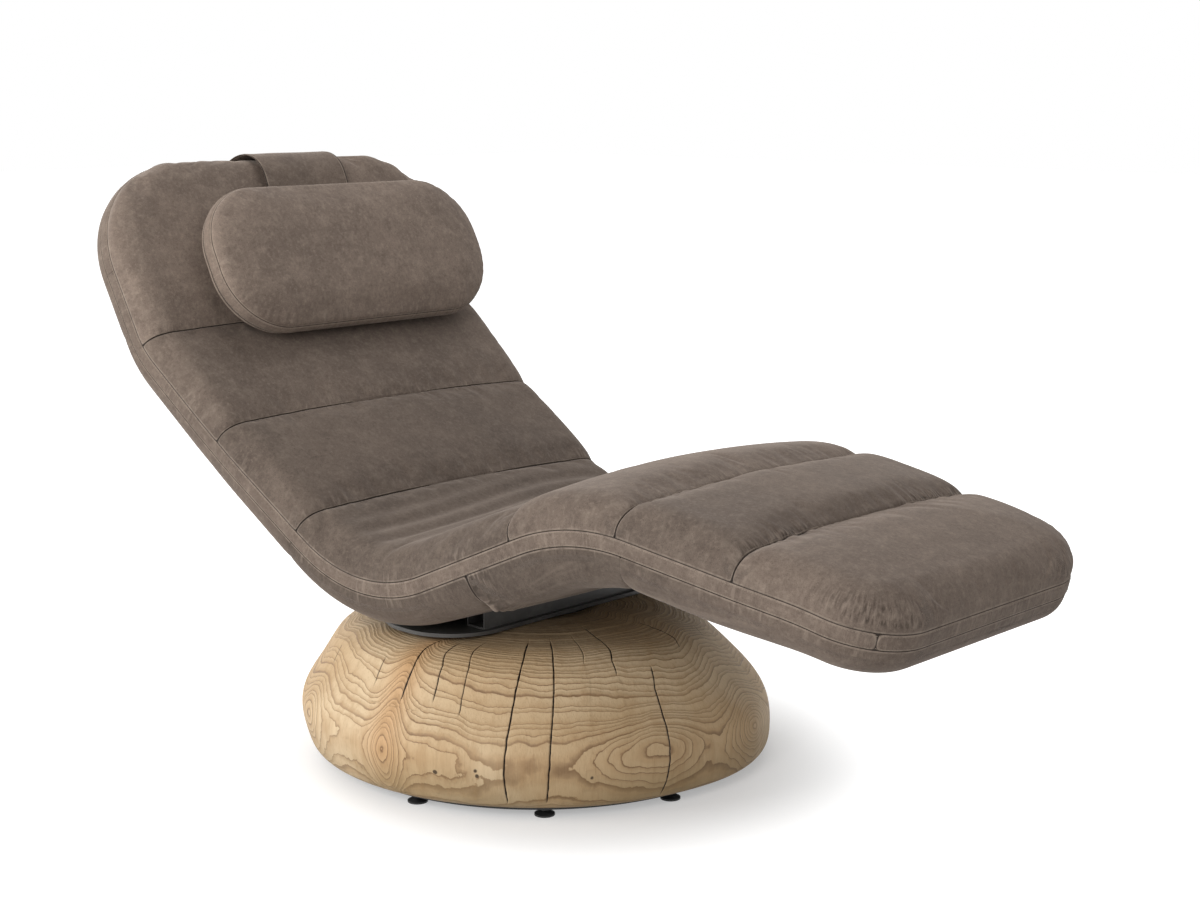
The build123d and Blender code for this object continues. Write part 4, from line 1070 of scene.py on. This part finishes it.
pillow_points, pillow_marks, pillow_walks = [], [], []
outline = pillow_ring(0)
around = len(outline)
walk = np.cumsum(np.hypot(*(outline - np.roll(outline, 1, 0)).T))
for inset, level, mark in case_rings:
    ring = pillow_ring(inset)
    gather = np.zeros(around)
    if level > gusset_high:
        lower_left = near(ring[:, 0] + 0.19, 0.07) * (ring[:, 1] < 0)
        amount = 0.0005 + 0.0016 * lower_left + 0.0003 * (ring[:, 1] < 0)
        wave = np.sin(walk * 420 + 3 * np.sin(walk * 37))
        gather = amount * wave * ramp(inset, 0.004) * near(inset, 0.016)
    pillow_points.append(on_pillow(ring, level, gather))
    pillow_marks += [mark] * around
    pillow_walks += list(walk)
pillow_faces = ring_faces(len(case_rings), around)
for first in (0, (len(case_rings) - 1) * around):
    for i in range(around // 2):
        rung = (first + i, first + i + 1, first + around - i - 1, first + (around - i) % around)
        pillow_faces.append(tuple(dict.fromkeys(rung)))
# Painted light: the pillow's leather is made paler.
pillow_light_tone = 0.27
pillow = made_piece("headrest_cushion", pillow_points, pillow_faces, nubuck.material, "headrest", "leather",
                    seam_distance=pillow_marks, seam_along=pillow_walks,
                    hide_tone=[pillow_light_tone] * len(pillow_marks))
facing_out(pillow)
hold(pillow, [k * around + i for k, (_, _, mark) in enumerate(case_rings) if mark == 0 for i in range(around)])
stuffed(pillow, loose=0.016, pressure=1.6, cap=0.004, from_seam=np.array(pillow_marks))
fine(pillow)
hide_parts("headrest_pillow")
stitched("pillow_stitches", "headrest", [(on_pillow(pillow_ring(-0.0012), level), True)
                                         for level in (gusset_low + stitch_in, gusset_high - stitch_in)])


# Headrest strap. Two layers of leather sewn together at their edges. It comes from the pillow's top
# edge, over the head end and down the back to the counterweight.
strap_half, strap_top = 0.095, 0.0030
strap_path = [(0.116, 0.0683), (0.200, 0.0683), (0.235, 0.0683), (0.256, 0.0684), (0.270, 0.0698),
              (0.285, 0.0708), (0.298, 0.0696), (0.310, 0.0658), (0.321, 0.0588), (0.331, 0.0490),
              (0.3385, 0.0375), (0.3435, 0.0250), (0.3465, 0.0100), (0.3472, -0.008), (0.3462, -0.026),
              (0.3430, -0.039), (0.3380, -0.0510),
              (0.3300, -0.0612), (0.3180, -0.0684), (0.3000, -0.0724), (0.270, -0.0735), (0.220, -0.0735),
              (0.175, -0.0735), (0.132, -0.0735)]
path_u, path_l = np.array(strap_path).T
reach = np.concatenate(([0], np.cumsum(np.hypot(np.diff(path_u), np.diff(path_l)))))
track_count = 150
fine_reach = np.linspace(0, reach[-1], track_count)


def smooth_track(values):
    """A smooth line through the strap's places."""
    rough = np.interp(fine_reach, reach, values)
    padded = np.concatenate((rough[:1].repeat(4), rough, rough[-1:].repeat(4)))
    kernel = np.array([1, 4, 8, 12, 14, 12, 8, 4, 1]) / 64
    smooth = np.convolve(padded, kernel, "valid")
    smooth[:4], smooth[-4:] = rough[:4], rough[-4:]
    return smooth


track_u, track_l = smooth_track(path_u), smooth_track(path_l)
du, dl = np.gradient(track_u), np.gradient(track_l)
size = np.hypot(du, dl)
out_u, out_l = -dl / size, du / size
across_share = np.concatenate(((-1, -0.985), np.linspace(-0.955, 0.955, 31), (0.985, 1)))


def strap_layer(name, low, high, half):
    """One layer of the strap, closed, with rounded edges."""
    points, marks, walks = [], [], []
    for u, l, ou, ol, r in zip(track_u, track_l, out_u, out_l, fine_reach):
        for level, flip in ((high, 1), (low, -1)):
            for share in across_share[::flip]:
                edge = (1 - abs(share)) * half
                thick = level if edge > 0.002 else (low + high) / 2 + (level - (low + high) / 2) * 0.55
                out = thick + 0.0006 * noise.noise(Vector((share * 2.0, r * 16, 2)))
                points.append(on_head(u + ou * out, headrest_shift + share * half, l + ol * out))
                marks.append(max(edge - 0.0015, 0) if flip == 1 else 0.02)
                walks.append(r)
    size = 2 * len(across_share)
    faces = ring_faces(track_count, size)
    faces += [tuple(range(size)), tuple(reversed(range(len(points) - size, len(points))))]
    layer = made_piece(name, points, faces, nubuck.material, "seat", "leather", seam_distance=marks,
                       seam_along=walks)
    facing_out(layer)
    return layer


strap_under = strap_layer("strap_under_layer", 0.0, 0.0014, strap_half - 0.004)
strap_over = strap_layer("strap_over_layer", 0.0016, strap_top, strap_half)
for layer in (strap_under, strap_over):
    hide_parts("headrest_strap")
strap_seams, stitch_level = [], strap_top + 0.0001
for side in (-1, 1):
    across = headrest_shift + side * (strap_half - 0.005)
    strap_seams.append((on_head(track_u + out_u * stitch_level, across, track_l + out_l * stitch_level), False))
stitched("strap_stitches", "seat", strap_seams)


# Sleeve on the pillow's back and pouch on the strap's other end. Both are leather over a stiff core,
# with a turned edge, and the pouch holds the steel bar that balances the pillow.
def sewn_block(name, body, node, up, low, half_height, half_across, thick, corner):
    """A flat leather case in line with the strap, with rounded corners and a soft edge.

    up says where its middle is, and low where its flat side is. From there it is thick outwards, or inwards
    where thick is negative.
    """
    count = 96
    profile = [(0.012, 0.0), (0.004, 0.0), (0.001, 0.08), (0.0, 0.3), (0.0, 0.6), (0.002, 0.85), (0.006, 0.97),
               (0.014, 1.0), (0.03, 1.03)]
    points, marks = [], []
    for inset, share in profile:
        for i in range(count):
            angle = 2 * pi * i / count
            cx = (half_across - corner) * np.sign(round(cos(angle), 6) or 1)
            cy = (half_height - corner) * np.sign(round(sin(angle), 6) or 1)
            radius = corner - min(inset, corner * 0.95)
            across = headrest_shift + cx + radius * cos(angle)
            points.append(on_head(up + cy + radius * sin(angle), across, low + thick * share))
            marks.append(min(inset + 0.004, 0.02) if share > 0.9 else 0.006)
    faces = ring_faces(len(profile), count)
    faces += [tuple(range(count)), tuple(range(len(points) - count, len(points)))]
    block = made_piece(name, points, faces, nubuck.material, body, "leather", seam_distance=marks)
    facing_out(block)
    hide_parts(node)


sewn_block("pillow_sleeve", "headrest", "strap_sleeve", up=pillow_up, low=0.0722, half_height=0.064,
           half_across=0.098, thick=0.0074, corner=0.012)
sewn_block("weight_pouch", "counterweight", "counterweight_pouch", up=0.172, low=-0.0772, half_height=0.0495,
           half_across=0.0995, thick=-0.027, corner=0.014)


# Studio. A pale floor with a painted glow seen only by the camera, weak near the timber and white away from it,
# and four big soft lamps: two windows on the left, one overhead and a fill in front. The window at the left
# front is the strongest.
def seen_directly(surface):
    """1 for a ray that comes from the camera, or from a mirror or glass that it looks at."""
    path = surface.add("ShaderNodeLightPath").outputs
    seen = surface.sums("MAXIMUM", path["Is Camera Ray"], path["Is Glossy Ray"])
    return surface.sums("MAXIMUM", seen, path["Is Transmission Ray"])


floor_paint = Surface("studio_floor")
for socket, value in (("Base Color", (0.64, 0.64, 0.64, 1.0)), ("Roughness", 0.9), ("Specular IOR Level", 0.1)):
    floor_paint.shader.inputs[socket].default_value = value
seen = seen_directly(floor_paint)
shadow_reach, white_from, shadow_glow = 0.33, 0.66, 0.36
spot = floor_paint.add("ShaderNodeTexCoord").outputs["Object"]
away = floor_paint.add("ShaderNodeVectorMath", {"operation": "LENGTH"}, i0=spot).outputs["Value"]
# Painted light: a glow seen by the camera, weak within shadow_reach of the middle and full from white_from out.
painted_floor_glow = floor_paint.add("ShaderNodeEmission", Color=(1.0, 1.0, 1.0, 1.0), Strength=floor_paint.sums(
    "MULTIPLY", seen, floor_paint.between(away, shadow_reach, white_from, shadow_glow, 1.0)))
both = floor_paint.add("ShaderNodeAddShader", i0=floor_paint.shader.outputs[0], i1=painted_floor_glow.outputs[0])
floor_paint.tree.links.new(both.outputs[0], floor_paint.tree.nodes["Material Output"].inputs["Surface"])
bpy.ops.mesh.primitive_plane_add(size=40, location=(0, 0, 0))
floor = bpy.context.object
floor.name = "studio_floor"
floor.data.materials.append(floor_paint.material)


def soft_lamp(name, place, aim, size, power, tint):
    """A square lamp at a place, turned to what it lights."""
    lamp = bpy.data.objects.new(name, bpy.data.lights.new(name, "AREA"))
    lamp.data.shape, lamp.data.size, lamp.data.energy = "SQUARE", size, power
    lamp.data.color = tint
    lamp.location = place
    lamp.rotation_mode = "QUATERNION"
    lamp.rotation_quaternion = (Vector(aim) - Vector(place)).to_track_quat("-Z", "Y")
    bpy.context.scene.collection.objects.link(lamp)


soft_lamp("left_window", (-2.2, -3.6, 1.55), (0, 0, 0.35), 2.4, 96, (1.0, 0.985, 0.96))
soft_lamp("far_window", (-3.4, 0.6, 2.0), (0, 0, 0.5), 2.2, 30, (1.0, 0.99, 0.97))
soft_lamp("overhead", (-0.4, 1.0, 3.4), (0, 0, 0.3), 2.6, 30, (1.0, 1.0, 1.0))
soft_lamp("front_fill", (1.8, -3.6, 2.2), (-0.3, 0, 0.5), 2.0, 76, (1.0, 0.995, 0.985))
air_light = 0.34
world = bpy.data.worlds.new("studio_air")
bpy.context.scene.world = world
world.use_nodes = True
air = Surface("studio_air", world.node_tree)
background = world.node_tree.nodes["Background"]
background.inputs["Color"].default_value = (1.0, 1.0, 1.0, 1.0)
air.join(air.sums("MULTIPLY_ADD", seen_directly(air), 1 - air_light, air_light), background, "Strength")
bpy.context.scene.view_settings.view_transform = "Standard"
